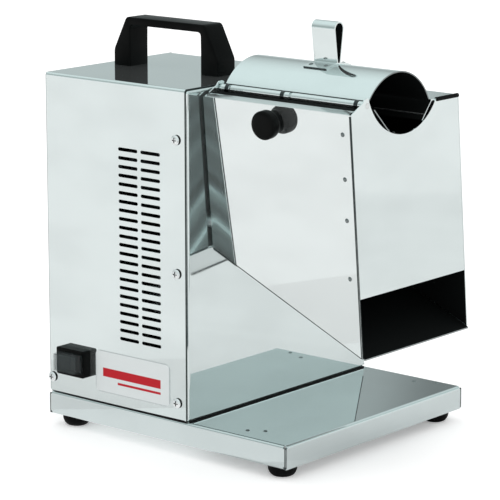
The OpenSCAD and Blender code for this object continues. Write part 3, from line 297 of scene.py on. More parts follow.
def inside_curve(centre, radius, wall_end, outlet):
    """Mask of painted shade on the curved lid's inside: the faces within radius of the line along X
    through centre that look towards it, the inner face of the wall that ends at X wall_end, and,
    most of the way, the cut edge at X outlet."""
    # The cut edge at the outlet gets painted shade of this share, which dims its light rim
    soft, edge_shade = 0.2 * MM, 0.7

    def mask(tree, coordinates):
        away = vector(tree, "SUBTRACT", coordinates["Object"], centre)["Vector"]
        flat = vector(tree, "MULTIPLY", away, (0.0, 1.0, 1.0))["Vector"]
        look = dot(tree, coordinates["Normal"], vector(tree, "NORMALIZE", flat)["Vector"])
        reach = vector(tree, "LENGTH", flat)["Value"]
        inward = calc(tree, "MULTIPLY", between(tree, look, -0.55, -0.45, 1.0, 0.0),
                      between(tree, reach, radius, radius + soft, 1.0, 0.0))
        side = between(tree, parts(tree, coordinates["Normal"])["X"], 0.5, 0.9)
        along = parts(tree, coordinates["Object"])["X"]
        ends = calc(tree, "MAXIMUM", between(tree, along, wall_end, wall_end + MM, 1.0, 0.0),
                    between(tree, along, outlet - MM, outlet - 0.5 * MM, 0.0, edge_shade))
        return calc(tree, "MAXIMUM", inward, calc(tree, "MULTIPLY", side, ends))
    return mask


def guide_inside(edge_y, end_shade, light_line_z=None):
    """Mask of painted shade on a guide sheet: all but its shelf past edge_y and, if a height is
    given last, a thin line at that height, left unshaded so that it shows light. Its end edges are
    shaded only as far as the share given second says."""
    light_line_half, soft = 0.25 * MM, 0.2 * MM

    def mask(tree, coordinates):
        place = parts(tree, coordinates["Object"])
        side = parts(tree, coordinates["Normal"])["X"]
        slope = between(tree, place["Y"], edge_y - 0.5 * MM, edge_y, 1.0, 0.0)
        dark = calc(tree, "MULTIPLY", slope, between(tree, side, 0.5, 0.9, 1.0, end_shade))
        if light_line_z is None:
            return dark
        off = calc(tree, "ABSOLUTE", calc(tree, "SUBTRACT", place["Z"], light_line_z))
        return calc(tree, "MULTIPLY", dark, between(tree, off, light_line_half, light_line_half + soft))
    return mask


# Plastic and rubber: how colour and roughness change where hands rub them

RUBBED_COLOUR, RUBBED_LIFT, RUBBED_ROUGH = 1.25, 0.002, 0.8


def moulded(name, colour, rough, grain=1500.0, depth=0.012 * MM, coat=0.0, gloss=0.15):
    """Moulded plastic or rubber with a fine grain, paler and glossier where hands rub it."""
    material, tree, shader, coordinates = new_material(name)
    shape = {"Point": coordinates["Object"], "Grain": grain, "Depth": depth}
    skin = put(tree, "ShaderNodeGroup", shape, node_tree=MOULDED_GRAIN).outputs
    paler = [min(1.0, c * RUBBED_COLOUR + RUBBED_LIFT) for c in colour]
    base = tint(tree, skin["Rub"], [*colour, 1.0], [*paler, 1.0])
    roughness = between(tree, skin["Rub"], 0.0, 1.0, rough, rough * RUBBED_ROUGH)
    feed(tree, shader, {"Base Color": base, "Roughness": roughness, "Coat Weight": coat,
                        "Specular IOR Level": gloss, "Normal": bump(tree, skin["Height"])})
    return material


# Finishes

STEEL = (0.775, 0.84, 0.835)
CHUTE_STEEL = [0.5 * c for c in STEEL]
MIRROR_LINES = 0.0003 * MM
CHAMBER_LEAN = math.radians(5.3)
LID_RADIUS = 55.0 * MM
SHEET = 1.2 * MM

lid_low, lid_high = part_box("feed_lid")
loop_y = middle("lid_loop").y
lid_inside = inside_curve((0.0, loop_y, lid_high.z - LID_RADIUS), LID_RADIUS - 0.5 * SHEET,
                          lid_low.x + 2 * SHEET, lid_high.x)
front_low, front_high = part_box("chamber_front_plate")
# Past this Y the hinge leaf's top gets painted shade, where it lies under the lid's hinge tube
leaf_back = front_low.y + 9.5 * MM
shelf_edge = lid_high.y + 1.6 * MM
# Height of the thin line left out of the far guide's painted shade, so that it shows light
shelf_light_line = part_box("far_guide")[1].z - 13 * MM

# The masks given below paint black, matt shade on faces that lie in shade: the inner faces of the
# chamber's plates, the chute's top face, the lid's inside, the loop's near-facing faces past its
# middle, the guides but their shelf, the hinge leaf's top by its tube, and the screws' rims and
# crosses
finishes = {
    "housing": sheet_metal("housing_sheet", STEEL, 0.03, line_depth=MIRROR_LINES),
    "tray": sheet_metal("tray_sheet", (0.725, 0.79, 0.79), 0.035, swell=5.0, swell_depth=0.03 * MM),
    "front": sheet_metal("chamber_front_sheet", (0.825, 0.875, 0.87), 0.028,
                         line_depth=MIRROR_LINES, painted_shade=facing((0.0, 1.0, 0.0))),
    "far": sheet_metal("chamber_far_sheet", STEEL, 0.06, painted_shade=facing((0.0, -1.0, 0.0))),
    "outer": sheet_metal("chamber_outer_sheet", STEEL, 0.05, painted_shade=facing((-1.0, 0.0, 0.0))),
    "inner": sheet_metal("chamber_inner_sheet", STEEL, 0.07,
                         painted_shade=facing((1.0, 0.0, 0.0), front_high.z)),
    "chute": sheet_metal("chute_sheet", CHUTE_STEEL, 0.07, painted_shade=facing((0.0, 0.0, 1.0))),
    "lid": sheet_metal("lid_sheet", STEEL, 0.07, painted_shade=lid_inside),
    "loop": sheet_metal("loop_strip", STEEL, 0.06, swell=20.0,
                        painted_shade=behind((0.0, -1.0, 0.0), loop_y)),
    "near_guide": sheet_metal("near_guide_sheet", STEEL, 0.1, painted_shade=guide_inside(shelf_edge, 0.6)),
    "far_guide": sheet_metal("far_guide_sheet", STEEL, 0.1,
                             painted_shade=guide_inside(shelf_edge, 0.25, shelf_light_line)),
    # Drum steel darkened as painted shade, for where it sits deep in the chamber
    "drum": sheet_metal("drum_sheet", (0.34, 0.35, 0.35), 0.28, swell=40.0),
    # Near-black sheet for beads that are painted shadow lines along gaps and edges
    "shadow_line": sheet_metal("shadow_line_sheet", (0.055, 0.066, 0.066), 0.15, swell=90.0,
                       swell_depth=0.004 * MM),
    "leaf": sheet_metal("hinge_leaf", STEEL, 0.14, swell=40.0, swell_depth=0.01 * MM,
                        painted_shade=behind((0.0, 0.0, 1.0), leaf_back)),
    "rod": sheet_metal("ground_rod", (0.72, 0.75, 0.745), 0.12, swell=60.0),
    "screw": sheet_metal("nickel_screw", (0.95, 0.97, 0.97), 0.34, swell=200.0,
                         swell_depth=0.01 * MM, painted_shade=sideways((0.0, 1.0, 0.0))),
    "rivet": sheet_metal("rivet_head", (0.22, 0.245, 0.245), 0.22, swell=300.0,
                         swell_depth=0.01 * MM),
    "zinc": sheet_metal("zinc_plate", (0.58, 0.60, 0.61), 0.3, swell=120.0, swell_depth=0.02 * MM),
    "cast": sheet_metal("cast_alloy", (0.52, 0.54, 0.57), 0.45, swell=400.0,
                        swell_depth=0.06 * MM),
    "copper": sheet_metal("copper_winding", (0.62, 0.34, 0.18), 0.35, swell=300.0,
                          swell_depth=0.1 * MM),
    "paint": moulded("grey_paint", (0.09, 0.095, 0.10), 0.4, grain=700.0, gloss=0.4),
    "plastic": moulded("black_plastic", (0.002, 0.0024, 0.0023), 0.36, gloss=0.05),
    "rocker": moulded("rocker_plastic", (0.02, 0.022, 0.023), 0.3, coat=0.2),
    "rubber": moulded("black_rubber", (0.003, 0.003, 0.0032), 0.55, grain=900.0, depth=0.03 * MM,
                      gloss=0.06),
    "pale": moulded("pale_plastic", (0.78, 0.77, 0.72), 0.5, gloss=0.4),
}

LABEL_PALE, LABEL_FLECK = (0.74, 0.785, 0.785, 1.0), (0.71, 0.755, 0.755, 1.0)
LABEL_RIM, LABEL_RED = (0.50, 0.55, 0.55, 1.0), (0.50, 0.006, 0.015, 1.0)


def label_finish():
    """Satin label with a grey rim and two plain red bands. A band is the product of smooth steps in
    X and Z."""
    material, tree, shader, coordinates = new_material("label_film")
    low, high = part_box("label_plate")
    place = parts(tree, coordinates["Object"])
    soft, rim = 0.4 * MM, 0.8 * MM

    def band(x0, x1, z0, z1):
        inside = 1.0
        for value, a, b in ((place["X"], x0, x1), (place["Z"], z0, z1)):
            rise = between(tree, value, a - soft, a + soft)
            fall = between(tree, value, b - soft, b + soft, 1.0, 0.0)
            inside = calc(tree, "MULTIPLY", inside, calc(tree, "MULTIPLY", rise, fall))
        return inside

    end = high.x - 12 * MM
    wide = band(low.x + 10 * MM, end, low.z + 16.5 * MM, low.z + 25.5 * MM)
    narrow = band(low.x + 30 * MM, end, low.z + 10.5 * MM, low.z + 13 * MM)
    field = band(low.x + rim, high.x - rim, low.z + rim, high.z - rim)
    fleck = noise(tree, coordinates["Object"], 60.0)
    paper = tint(tree, field, LABEL_RIM, tint(tree, fleck, LABEL_PALE, LABEL_FLECK))
    printed = tint(tree, calc(tree, "MAXIMUM", wide, narrow), paper, LABEL_RED)
    feed(tree, shader, {"Base Color": printed, "Specular IOR Level": 0.2,
                        "Roughness": between(tree, fleck, 0.2, 0.8, 0.28, 0.36)})
    return material


def boot_finish():
    """Clear soft skin whose opacity goes by how far a face looks along Y: its drawn-in sides least,
    its rounded edges most, its flat front in between. This is painted light and shade: the front
    shows lighter than the sides, and the rounded edges lighter still."""
    sides, edges, front = 0.14, 0.55, 0.33
    material = moulded("clear_boot_skin", (0.055, 0.069, 0.07), 0.2, grain=500.0, gloss=0.2)
    tree = material.node_tree
    normal = put(tree, "ShaderNodeTexCoord").outputs["Normal"]
    level = calc(tree, "ABSOLUTE", parts(tree, normal)["Y"])
    rise = between(tree, level, 0.3, 0.55, sides, edges)
    fall = between(tree, level, 0.8, 0.95, 0.0, front - edges)
    shader = next(node for node in tree.nodes if node.type == "BSDF_PRINCIPLED")
    feed(tree, shader, {"Alpha": calc(tree, "ADD", rise, fall)})
    return material


finishes["label"] = label_finish()
finishes["boot"] = boot_finish()

WEARS = {
    "housing": "side_panel top_cover far_panel drive_end_plate rear_end_plate",
    "tray": "base_tray",
    "front": "chamber_front_plate",
    "far": "chamber_far_plate",
    "outer": "chamber_outer_plate",
    "inner": "chamber_inner_plate",
    "chute": "chute_floor",
    "lid": "feed_lid",
    "loop": "lid_loop",
    "near_guide": "near_guide",
    "far_guide": "far_guide",
    "drum": "grater_drum drum_nut",
    "rod": "hinge_rod drum_shaft motor_rotor front_bearing rear_bearing",
    "screw": "cover_screws",
    "rivet": "chamber_rivets tray_rivets lid_rivets",
    "zinc": "plate_bolts foot_screws handle_screws motor_bolts housing_bolts chamber_bolts "
            "chamber_spacers knob_stud",
    "cast": "motor_front_bell motor_rear_bell motor_pulley driven_pulley bearing_housing",
    "copper": "motor_stator",
    "paint": "motor_shell motor_cradle capacitor_clip",
    "plastic": "switch_body cable_gland motor_fan carry_handle clamp_knob",
    "rocker": "switch_rocker",
    "rubber": "drive_belt shaft_seal rubber_feet",
    "boot": "switch_boot",
    "pale": "terminal_block run_capacitor",
    "label": "label_plate",
}
for finish, names in WEARS.items():
    for name in names.split():
        mesh = nodes[name].data
        mesh.materials.clear()
        mesh.materials.append(finishes[finish])


# Pieces: surfaces on a grid of points, closed and turned outwards

WELD = 1e-6
SHARP_ANGLE = math.radians(35.0)

# How far the far panel leans in over its height
FAR_SLOPE = 97 / 330


def grid_faces(rows, columns, wrap_rows):
    """Quads between neighbours of a grid whose columns run round, and its rows too if asked."""
    used = rows if wrap_rows else rows - 1
    i, j = np.meshgrid(np.arange(used), np.arange(columns), indexing="ij")
    below, beside = (i + 1) % rows, (j + 1) % columns
    quads = [i * columns + j, below * columns + j, below * columns + beside, i * columns + beside]
    return np.stack(quads, axis=-1).reshape(-1, 4)


def surface_piece(name, grids, body, finish, replaces=None, wrap_rows=False):
    """Piece made of equal grids, an array (grids, rows, columns, 3) in metres. Its seams and poles
    are welded."""
    count, rows, columns = grids.shape[:3]
    quads = grid_faces(rows, columns, wrap_rows)
    faces = quads[None] + (np.arange(count) * rows * columns)[:, None, None]
    mesh = bpy.data.meshes.new(name)
    mesh.from_pydata(grids.reshape(-1, 3).tolist(), [], faces.reshape(-1, 4).tolist())
    welded = bmesh.new()
    welded.from_mesh(mesh)
    bmesh.ops.remove_doubles(welded, verts=welded.verts, dist=WELD)
    bmesh.ops.recalc_face_normals(welded, faces=welded.faces)
    welded.to_mesh(mesh)
    welded.free()
    mesh.polygons.foreach_set("use_smooth", np.ones(len(mesh.polygons), dtype=bool))
    mesh.set_sharp_from_angle(angle=SHARP_ANGLE)
    mesh.materials.append(finishes[finish])
    made = bpy.data.objects.new(name, mesh)
    scene.collection.objects.link(made)
    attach(made, body)
    if replaces:
        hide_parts(replaces)


def rounded_line(corners, radius, steps):
    """Line through corners whose inner ones are rounded: from radius before to radius after a
    corner it follows (1 - t)^2 start + 2 t (1 - t) corner + t^2 end."""
    corners = np.asarray(corners, dtype=float)
    legs = np.diff(corners, axis=0)
    unit = legs / np.linalg.norm(legs, axis=1, keepdims=True)
    turn = corners[1:-1, None]
    start, end = turn - radius * unit[:-1, None], turn + radius * unit[1:, None]
    t = np.linspace(0.0, 1.0, steps)[None, :, None]
    bends = (1 - t) ** 2 * start + 2 * t * (1 - t) * turn + t ** 2 * end
    return np.concatenate([corners[:1], bends.reshape(-1, corners.shape[1]), corners[-1:]])


def rounded_rectangle(half_a, half_b, radius):
    """Closed outlines, one a row: quarter circles of radius about the corners, moved in by it."""
    steps = 5
    half_a, half_b, radius = (np.asarray(v, dtype=float)[:, None] for v in (half_a, half_b, radius))
    quarter = np.linspace(0.0, math.pi / 2, steps)
    angle = np.concatenate([quarter + k * math.pi / 2 for k in range(4)])
    sign_a, sign_b = np.repeat([1, -1, -1, 1], steps), np.repeat([1, 1, -1, -1], steps)
    a = sign_a * (half_a - radius) + radius * np.cos(angle)
    b = sign_b * (half_b - radius) + radius * np.sin(angle)
    return a, b


def with_poles(grid):
    """The grid with a row added at each end, drawn together in that end's middle."""
    ends = [np.broadcast_to(row.mean(axis=0), row.shape)[None] for row in (grid[0], grid[-1])]
    return np.concatenate([ends[0], grid, ends[1]])


def turned(profile, centre, axis, steps=48):
    """Profile of (height along axis, radius) turned about the line through centre along axis."""
    profile = np.asarray(profile, dtype=float)
    axis = np.asarray(axis, dtype=float) / np.linalg.norm(axis)
    u = np.cross(axis, (1.0, 0.0, 0.0) if abs(axis[0]) < 0.9 else (0.0, 1.0, 0.0))
    u /= np.linalg.norm(u)
    v = np.cross(axis, u)
    angle = np.linspace(0.0, 2 * math.pi, steps, endpoint=False)[None, :, None]
    height, radius = profile[:, None, :1], profile[:, None, 1:]
    return np.asarray(centre) + height * axis + radius * (np.cos(angle) * u + np.sin(angle) * v)


def straight_run(a, b, radius):
    """Circle carried along the line from a to b, closed at both ends."""
    way = np.subtract(b, a)
    length = np.linalg.norm(way)
    profile = [(0.0, 0.0), (0.0, radius), (length, radius), (length, 0.0)]
    return turned(profile, a, way, 16)


def run_in_plane(path, x, radius):
    """Circle carried along a path of (y, z) at x: path + radius (cos a X + sin a N), with N square
    to the path."""
    steps = 14
    way = np.gradient(path, axis=0)
    way /= np.linalg.norm(way, axis=1, keepdims=True)
    square = np.stack([-way[:, 1], way[:, 0]], axis=-1)
    angle = np.linspace(0.0, 2 * math.pi, steps, endpoint=False)
    flat = path[:, None] + radius * np.sin(angle)[None, :, None] * square[:, None]
    across = np.broadcast_to(x + radius * np.cos(angle), flat.shape[:2])
    return with_poles(np.concatenate([across[..., None], flat], axis=-1))


def strip_along_x(profile, x0, x1):
    """Closed profile of (y, z) carried from x0 to x1 and drawn together at both ends."""
    profile = np.asarray(profile, dtype=float)
    ends = [np.column_stack([np.full(len(profile), x), profile]) for x in (x0, x1)]
    return with_poles(np.stack(ends))


def make_hinge_leaf():
    """Leaf: a thin strip that rises from the front plate's top edge to just under the lid's hinge
    tube, with z = foot + rise s (2 - s) over its width."""
    thick, rise, inset, short, gap = 0.8 * MM, 3.0 * MM, 0.3 * MM, 2.2 * MM, 5.4 * MM
    back = middle("hinge_rod").y - gap
    s = np.linspace(0.0, 1.0, 9)
    y = front_low.y + inset + (back - front_low.y - inset) * s
    z = front_high.z + 0.5 * thick + rise * s * (2 - s)
    profile = np.concatenate([np.column_stack([y, z]), np.column_stack([y, z - thick])[::-1]])
    grid = strip_along_x(profile, front_low.x + short, front_high.x - short)
    surface_piece("hinge_leaf_strip", grid[None], "machine", "leaf")


def make_shadow_beads():
    """Beads: black, as painted shadow in the gaps: a soft round bead laid in the corner between the
    drive end plate and the tray, and one under the side panel that grows towards it. Each is a
    profile turned about its length."""
    radius, blunt, edge = 1.1 * MM, 0.7, 0.4
    low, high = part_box("drive_end_plate")
    start = (high.x + 0.6 * radius, low.y + radius, low.z + 0.5 * radius)
    length = high.y - low.y - 2 * radius
    profile = [(0.0, 0.0), (0.0, blunt * radius), (edge * radius, radius),
               (length - edge * radius, radius), (length, blunt * radius), (length, 0.0)]
    bead = turned(profile, start, (0.0, 1.0, 0.0), 16)
    surface_piece("foot_shadow_bead", bead[None], "machine", "rubber")
    thin, thick, sunk, drop = 0.4 * MM, 1.25 * MM, 0.6 * MM, 0.7 * MM
    low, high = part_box("side_panel")
    length = high.x - low.x - 2 * MM
    profile = [(0.0, 0.0), (0.0, blunt * thin), (thin, thin), (length - thick, thick),
               (length, blunt * thick), (length, 0.0)]
    bead = turned(profile, (low.x + MM, low.y + sunk, low.z - drop), (1.0, 0.0, 0.0), 16)
    surface_piece("panel_shadow_bead", bead[None], "machine", "rubber")


def make_corner_welds():
    """Welds: a circle as thick as the end plates' folds, carried round each corner that the folds
    leave open."""
    bend, corner = 3 * MM, 8 * MM
    low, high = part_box("drive_end_plate")
    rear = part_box("rear_end_plate")[0].x
    near, top, bottom = low.y + bend, high.z - bend, low.z + bend
    far_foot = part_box("base_tray")[1].y - (SHEET + bend) * math.hypot(1.0, FAR_SLOPE)

    def far(z):
        return far_foot - FAR_SLOPE * (z - low.z)

    reach, fold_end, fold_start = 2.4 * bend, high.z - 3 * corner, low.z + 4.5 * bend
    paths = [
        ([(near, top - reach), (near, top), (near + 0.5 * reach, top)], 0.5 * MM),
        ([(near, bottom + reach), (near, bottom), (near + 0.5 * reach, bottom)], 0.5 * MM),
        ([(far(fold_end), fold_end), (far(top), top), (far(top) - corner - bend, top)], 2.8 * MM),
        ([(far(fold_start), fold_start), (far(bottom), bottom), (far(bottom) - reach, bottom)],
         2.0 * MM)]
    grids = [run_in_plane(rounded_line(path, rounding, 7), x, 0.97 * bend)
             for x in (high.x - bend, rear + bend) for path, rounding in paths]
    surface_piece("corner_welds", np.stack(grids), "machine", "housing")


def make_carry_handle():
    """Handle: a rounded rectangle, as wide as the gap between the outer line and the opening's line
    and as deep as the handle, carried from foot to foot."""
    leg, grip, shoulder, top = 22 * MM, 8 * MM, 16 * MM, 105 * MM
    outer_bend, inner_bend, edge = 3 * MM, 5 * MM, 1.8 * MM
    low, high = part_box("carry_handle")
    mid = middle("carry_handle")
    half, depth = (high.x - low.x) / 2, (high.y - low.y) / 2
    hole, hole_top, bend = half - leg, high.z - grip, low.z + shoulder
    outer = rounded_line([(-half, low.z), (-half, bend), (-top / 2, high.z), (top / 2, high.z),
                          (half, bend), (half, low.z)], outer_bend, 7)
    inner = rounded_line([(-hole, low.z), (-hole, bend), (-hole, hole_top), (hole, hole_top),
                          (hole, bend), (hole, low.z)], inner_bend, 7)
    across = (outer - inner) / 2
    width = np.linalg.norm(across, axis=1)
    a, b = rounded_rectangle(width, np.full_like(width, depth), np.full_like(width, edge))
    flat = ((outer + inner) / 2)[:, None] + a[..., None] * (across / width[:, None])[:, None]
    grid = np.stack([mid.x + flat[..., 0], mid.y + b, flat[..., 1]], axis=-1)
    surface_piece("handle_moulding", with_poles(grid)[None], "machine", "plastic",
                  "carry_handle")


def make_clamp_knob():
    """Knob: bore, waisted neck and round-edged head, turned about its stud."""
    joint = next(j for j in frame["joints"] if j["name"] == "knob_turn")
    axis = np.array(joint["axis"], dtype=float)
    axis *= -np.sign(axis[1])
    profile = np.array([
        (12.4, 0), (12.4, 3.05), (0.3, 3.05), (0.3, 10.6), (0.8, 11.2), (2.5, 11.0), (4.5, 10.9),
        (6.2, 11.4), (7.6, 12.6), (8.8, 13.5), (10.2, 13.9), (16.2, 14.0), (17.4, 13.8),
        (18.3, 13.2), (18.9, 12.2), (19.3, 10.0), (19.5, 6.0), (19.6, 0)]) * MM
    grid = turned(profile, joint["pos_m"], axis)
    surface_piece("knob_moulding", grid[None], "knob", "plastic", "clamp_knob")


def make_foot_pads():
    """Feet: a bulging ring with a recess for its screw, turned about each foot's middle."""
    radius = 14 * MM
    low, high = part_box("rubber_feet")
    profile = np.array([
        (12.0, 2.7), (12.0, 13.8), (11.4, 14.3), (9.0, 14.5), (6.0, 14.1), (3.4, 13.0), (1.6, 11.7),
        (0.5, 10.2), (0.0, 9.0), (0.0, 6.9), (0.3, 6.3), (0.9, 6.0), (5.0, 6.0), (5.0, 2.7)]) * MM
    grids = [turned(profile, (x, y, low.z), (0.0, 0.0, 1.0), 32)
             for x in (low.x + radius, high.x - radius) for y in (low.y + radius, high.y - radius)]
    surface_piece("foot_pads", np.stack(grids), "machine", "rubber", "rubber_feet",
                  wrap_rows=True)


def make_switch_boot():
    """Boot: a rounded rectangle that draws in as it rises from the bezel to its flat front, and the
    same again one wall further in."""
    wall, foot, corner, least_corner = 0.8 * MM, 1.9 * MM, 3.5 * MM, 0.6 * MM
    upright = 0.7
    low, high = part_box("switch_boot")
    mid = middle("switch_boot")
    rise = high.y - low.y
    inset = np.array([0.0, 0.2, 0.9, 1.7, 2.3, 2.7, 3.3, 4.5]) * MM
    out = rise * np.array([0.0, 0.08, 0.35, 0.65, 0.87, 0.95, 0.99, 1.0])
    inset = np.concatenate([inset, inset[::-1] + wall])
    out = np.concatenate([out, np.maximum(out[::-1] - wall, 0.0)])
    a, b = rounded_rectangle((high.x - low.x) / 2 - inset,
                             (high.z - low.z) / 2 - foot - upright * inset,
                             np.maximum(corner - inset, least_corner))
    y = np.broadcast_to((high.y - out)[:, None], a.shape)
    grid = np.stack([mid.x + a, y, mid.z + b], axis=-1)
    front = len(inset) // 2
    middles = [np.broadcast_to(row.mean(axis=0), row.shape)[None]
               for row in (grid[front - 1], grid[front])]
    closed = np.concatenate([grid[:front], *middles, grid[front:]])
    surface_piece("boot_skin", closed[None], "machine", "boot", "switch_boot",
                  wrap_rows=True)


def make_drum_burrs():
    """Burrs: small craters in staggered rows round the drum; each is rings of (radius, height)
    about the drum's own outward direction at its place."""
    columns, rows, around = 36, 19, 8
    rings = np.array([(0.0, -0.5), (2.1, -0.5), (1.2, 1.3), (0.0, 0.5)]) * MM
    low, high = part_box("grater_drum")
    mid = middle("grater_drum")
    radius = (high.z - low.z) / 2
    row, column = np.divmod(np.arange(rows * columns), columns)
    place = (column + 0.5 * (row % 2)) * 2 * math.pi / columns
    x = low.x + (high.x - low.x) * (row + 1) / (rows + 1)
    none = np.zeros_like(place)
    outward = np.stack([none, np.cos(place), np.sin(place)], axis=-1)[:, None, None]
    round_it = np.stack([none, -np.sin(place), np.cos(place)], axis=-1)[:, None, None]
    axis = np.stack([x, np.full_like(x, mid.y), np.full_like(x, mid.z)], axis=-1)[:, None, None]
    turn = np.linspace(0.0, 2 * math.pi, around, endpoint=False)[None, None, :, None]
    size, height = rings[None, :, None, :1], rings[None, :, None, 1:]
    along = np.array((1.0, 0.0, 0.0))
    grids = (axis + (radius + height) * outward + size * np.cos(turn) * along
             + size * np.sin(turn) * round_it)
    surface_piece("drum_burrs", grids, "drum", "drum")


def make_chamber_hems():
    """Hems: a small circle, near black as painted shade, carried along the chamber's outer corner,
    the chute's two lower edges and the tray's upright corners; and a larger black one, a painted
    shadow line on the outer plate's top from the mouth to its far corner."""
    sunk, short, mouth_end, tray_gap = 0.8 * MM, 1.0 * MM, 155.5 * MM, 2.2 * MM
    corner_size, near_size, far_size = 1.1 * MM, 1.0 * MM, 1.9 * MM
    tray_size, mouth_shade_size = 1.0 * MM, 2.1 * MM
    chute_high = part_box("chamber_inner_plate")[0].z
    far_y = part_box("far_guide")[1].y

    def face_y(z):
        return front_low.y + (front_high.z - z) * math.tan(CHAMBER_LEAN)

    side = front_high.x - sunk
    top = (side, face_y(front_high.z) + sunk, front_high.z - short)
    corner = (side, face_y(front_low.z) + sunk, front_low.z + short)
    inner = (front_low.x + sunk, face_y(chute_high) + sunk, chute_high)
    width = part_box("chamber_far_plate")[1].y - face_y(front_low.z) - 2 * sunk
    far_inner = (inner[0], inner[1] + width, inner[2])
    far_corner = (corner[0], corner[1] + width, corner[2])
    runs = [(corner, top, corner_size), (inner, corner, near_size),
            (far_inner, far_corner, far_size)]
    tray_low, tray_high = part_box("base_tray")
    for x in (tray_low.x + sunk, tray_high.x - sunk):
        for y in (tray_low.y + sunk, tray_high.y - sunk):
            runs.append(((x, y, tray_low.z + short), (x, y, tray_high.z - tray_gap), tray_size))
    hems = np.stack([straight_run(*run) for run in runs])
    surface_piece("chamber_hems", hems, "machine", "shadow_line")
    # A black bead on the outer plate's top, from the mouth to its far corner, is a painted shadow
    # line
    mouth = (side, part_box("side_panel")[0].y + mouth_end, front_high.z - sunk)
    far = (side, far_y - short, front_high.z - sunk)
    mouth_shade = straight_run(mouth, far, mouth_shade_size)
    surface_piece("mouth_shadow_bead", mouth_shade[None], "machine", "rubber")


HINGE_TUBE = 4.0 * MM


def make_lid_seam():
    """Seam: a small near-black circle, a painted shadow line, carried along the line where the
    lid's sheet lies on its hinge tube.
    """
    rod, angle = middle("hinge_rod"), math.radians(78.0)
    short, size = 3.0 * MM, 0.8 * MM
    y, z = rod.y + HINGE_TUBE * math.cos(angle), rod.z + HINGE_TUBE * math.sin(angle)
    run = straight_run((lid_low.x + short, y, z), (lid_high.x - short, y, z), size)
    surface_piece("lid_seam", run[None], "lid", "shadow_line")


def make_hinge_shade_rings():
    """Rings: a near-black ring with rounded edges, painted shade for the tube's knuckle gaps,
    turned about the hinge rod at the ends and middle of the lid's tube."""
    rod, length, inset, shift = middle("hinge_rod"), 4.6 * MM, 6 * MM, 12 * MM
    outside, edge = HINGE_TUBE + 0.6 * MM, 0.4 * MM
    profile = [(0.0, HINGE_TUBE), (0.0, outside - edge), (edge, outside), (length - edge, outside),
               (length, outside - edge), (length, HINGE_TUBE)]
    places = (lid_low.x + inset, middle("feed_lid").x - shift, lid_high.x - inset - length)
    grids = [turned(profile, (x, rod.y, rod.z), (1.0, 0.0, 0.0), 32) for x in places]
    surface_piece("hinge_shade_rings", np.stack(grids), "lid", "shadow_line", wrap_rows=True)


def make_loop_seam():
    """Seam: a small near-black circle, a painted shadow line, carried along the front edge of the
    loop's near foot, where it leaves the lid."""
    inset, size = 0.4 * MM, 0.8 * MM
    low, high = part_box("lid_loop")
    y, z = low.y + inset, low.z + inset
    run = straight_run((low.x + inset, y, z), (high.x - inset, y, z), size)
    surface_piece("loop_seam", run[None], "lid", "shadow_line")


def make_housing_seam():
    """Seams: a near-black circle, a painted shadow line for the gap where the folded wrap ends,
    carried
    round each end plate: up the near side, along the top and down the leaning far side."""
    sunk, bend, short, off = 0.6 * MM, 3 * MM, 9 * MM, 0.3 * MM
    drive_size, rear_size = 0.75 * MM, 0.55 * MM
    near_low, near_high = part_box("side_panel")
    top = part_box("top_cover")[1].z - sunk
    far_low, far_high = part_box("far_panel")
    near = near_low.y + sunk
    foot, rise = far_high.y - sunk * math.hypot(1.0, FAR_SLOPE), top - far_low.z
    path = [(near, near_low.z + MM), (near, top), (foot - FAR_SLOPE * rise, top),
            (foot - FAR_SLOPE * short, far_low.z + short)]
    line = rounded_line(path, bend, 9)
    grids = [run_in_plane(line, near_high.x + off, drive_size),
             run_in_plane(line, near_low.x - off, rear_size)]
    surface_piece("housing_seam", np.stack(grids), "machine", "shadow_line")


make_hinge_leaf()
make_shadow_beads()
make_corner_welds()
make_carry_handle()
make_clamp_knob()
make_foot_pads()
make_switch_boot()
make_drum_burrs()
make_chamber_hems()
make_lid_seam()
make_hinge_shade_rings()
make_loop_seam()
make_housing_seam()


# Studio: a white floor, cards on it that only reflections see, and walls that they see as grey

WHITE, BLACK = (1.0, 1.0, 1.0, 1.0), (0.0, 0.0, 0.0, 1.0)
MATT = {"Roughness": 0.9, "Specular IOR Level": 0.0}
FLOOR_REACH = 12.0

# How much the floor glows where the camera looks at it
FLOOR_GLOW = 0.28


def plane_mesh(name, corners):
    """Flat quad through four corners, in metres."""
    mesh = bpy.data.meshes.new(name)
    mesh.from_pydata([tuple(c) for c in corners], [], [(0, 1, 2, 3)])
    made = bpy.data.objects.new(name, mesh)
    scene.collection.objects.link(made)
    return made


def make_floor():
    """White paper: it is lit as paper, and a little lighter where the camera looks at it."""
    far = FLOOR_REACH
    corners = [(-far, -far, 0), (far, -far, 0), (far, far, 0), (-far, far, 0)]
    floor = plane_mesh("studio_floor", corners)
    material, tree, shader, coordinates = new_material("studio_paper")
    fibre = noise(tree, coordinates["Object"], 3.0)
    paper = tint(tree, fibre, (0.955, 0.96, 0.96, 1.0), (0.965, 0.965, 0.965, 1.0))
    seen = put(tree, "ShaderNodeLightPath").outputs["Is Camera Ray"]
    feed(tree, shader, {**MATT, "Base Color": paper, "Emission Color": WHITE,
                        "Emission Strength": calc(tree, "MULTIPLY", seen, FLOOR_GLOW)})
    floor.data.materials.append(material)


def floor_axes(azimuth):
    """On the floor: the direction along azimuth, the one square to it, and the housing's front
    corner, in metres."""
    angle = math.radians(azimuth)
    along = np.array([math.sin(angle), -math.cos(angle)])
    side = np.array([-along[1], along[0]])
    start = np.array([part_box("drive_end_plate")[1].x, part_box("side_panel")[0].y])
    return along, side, start


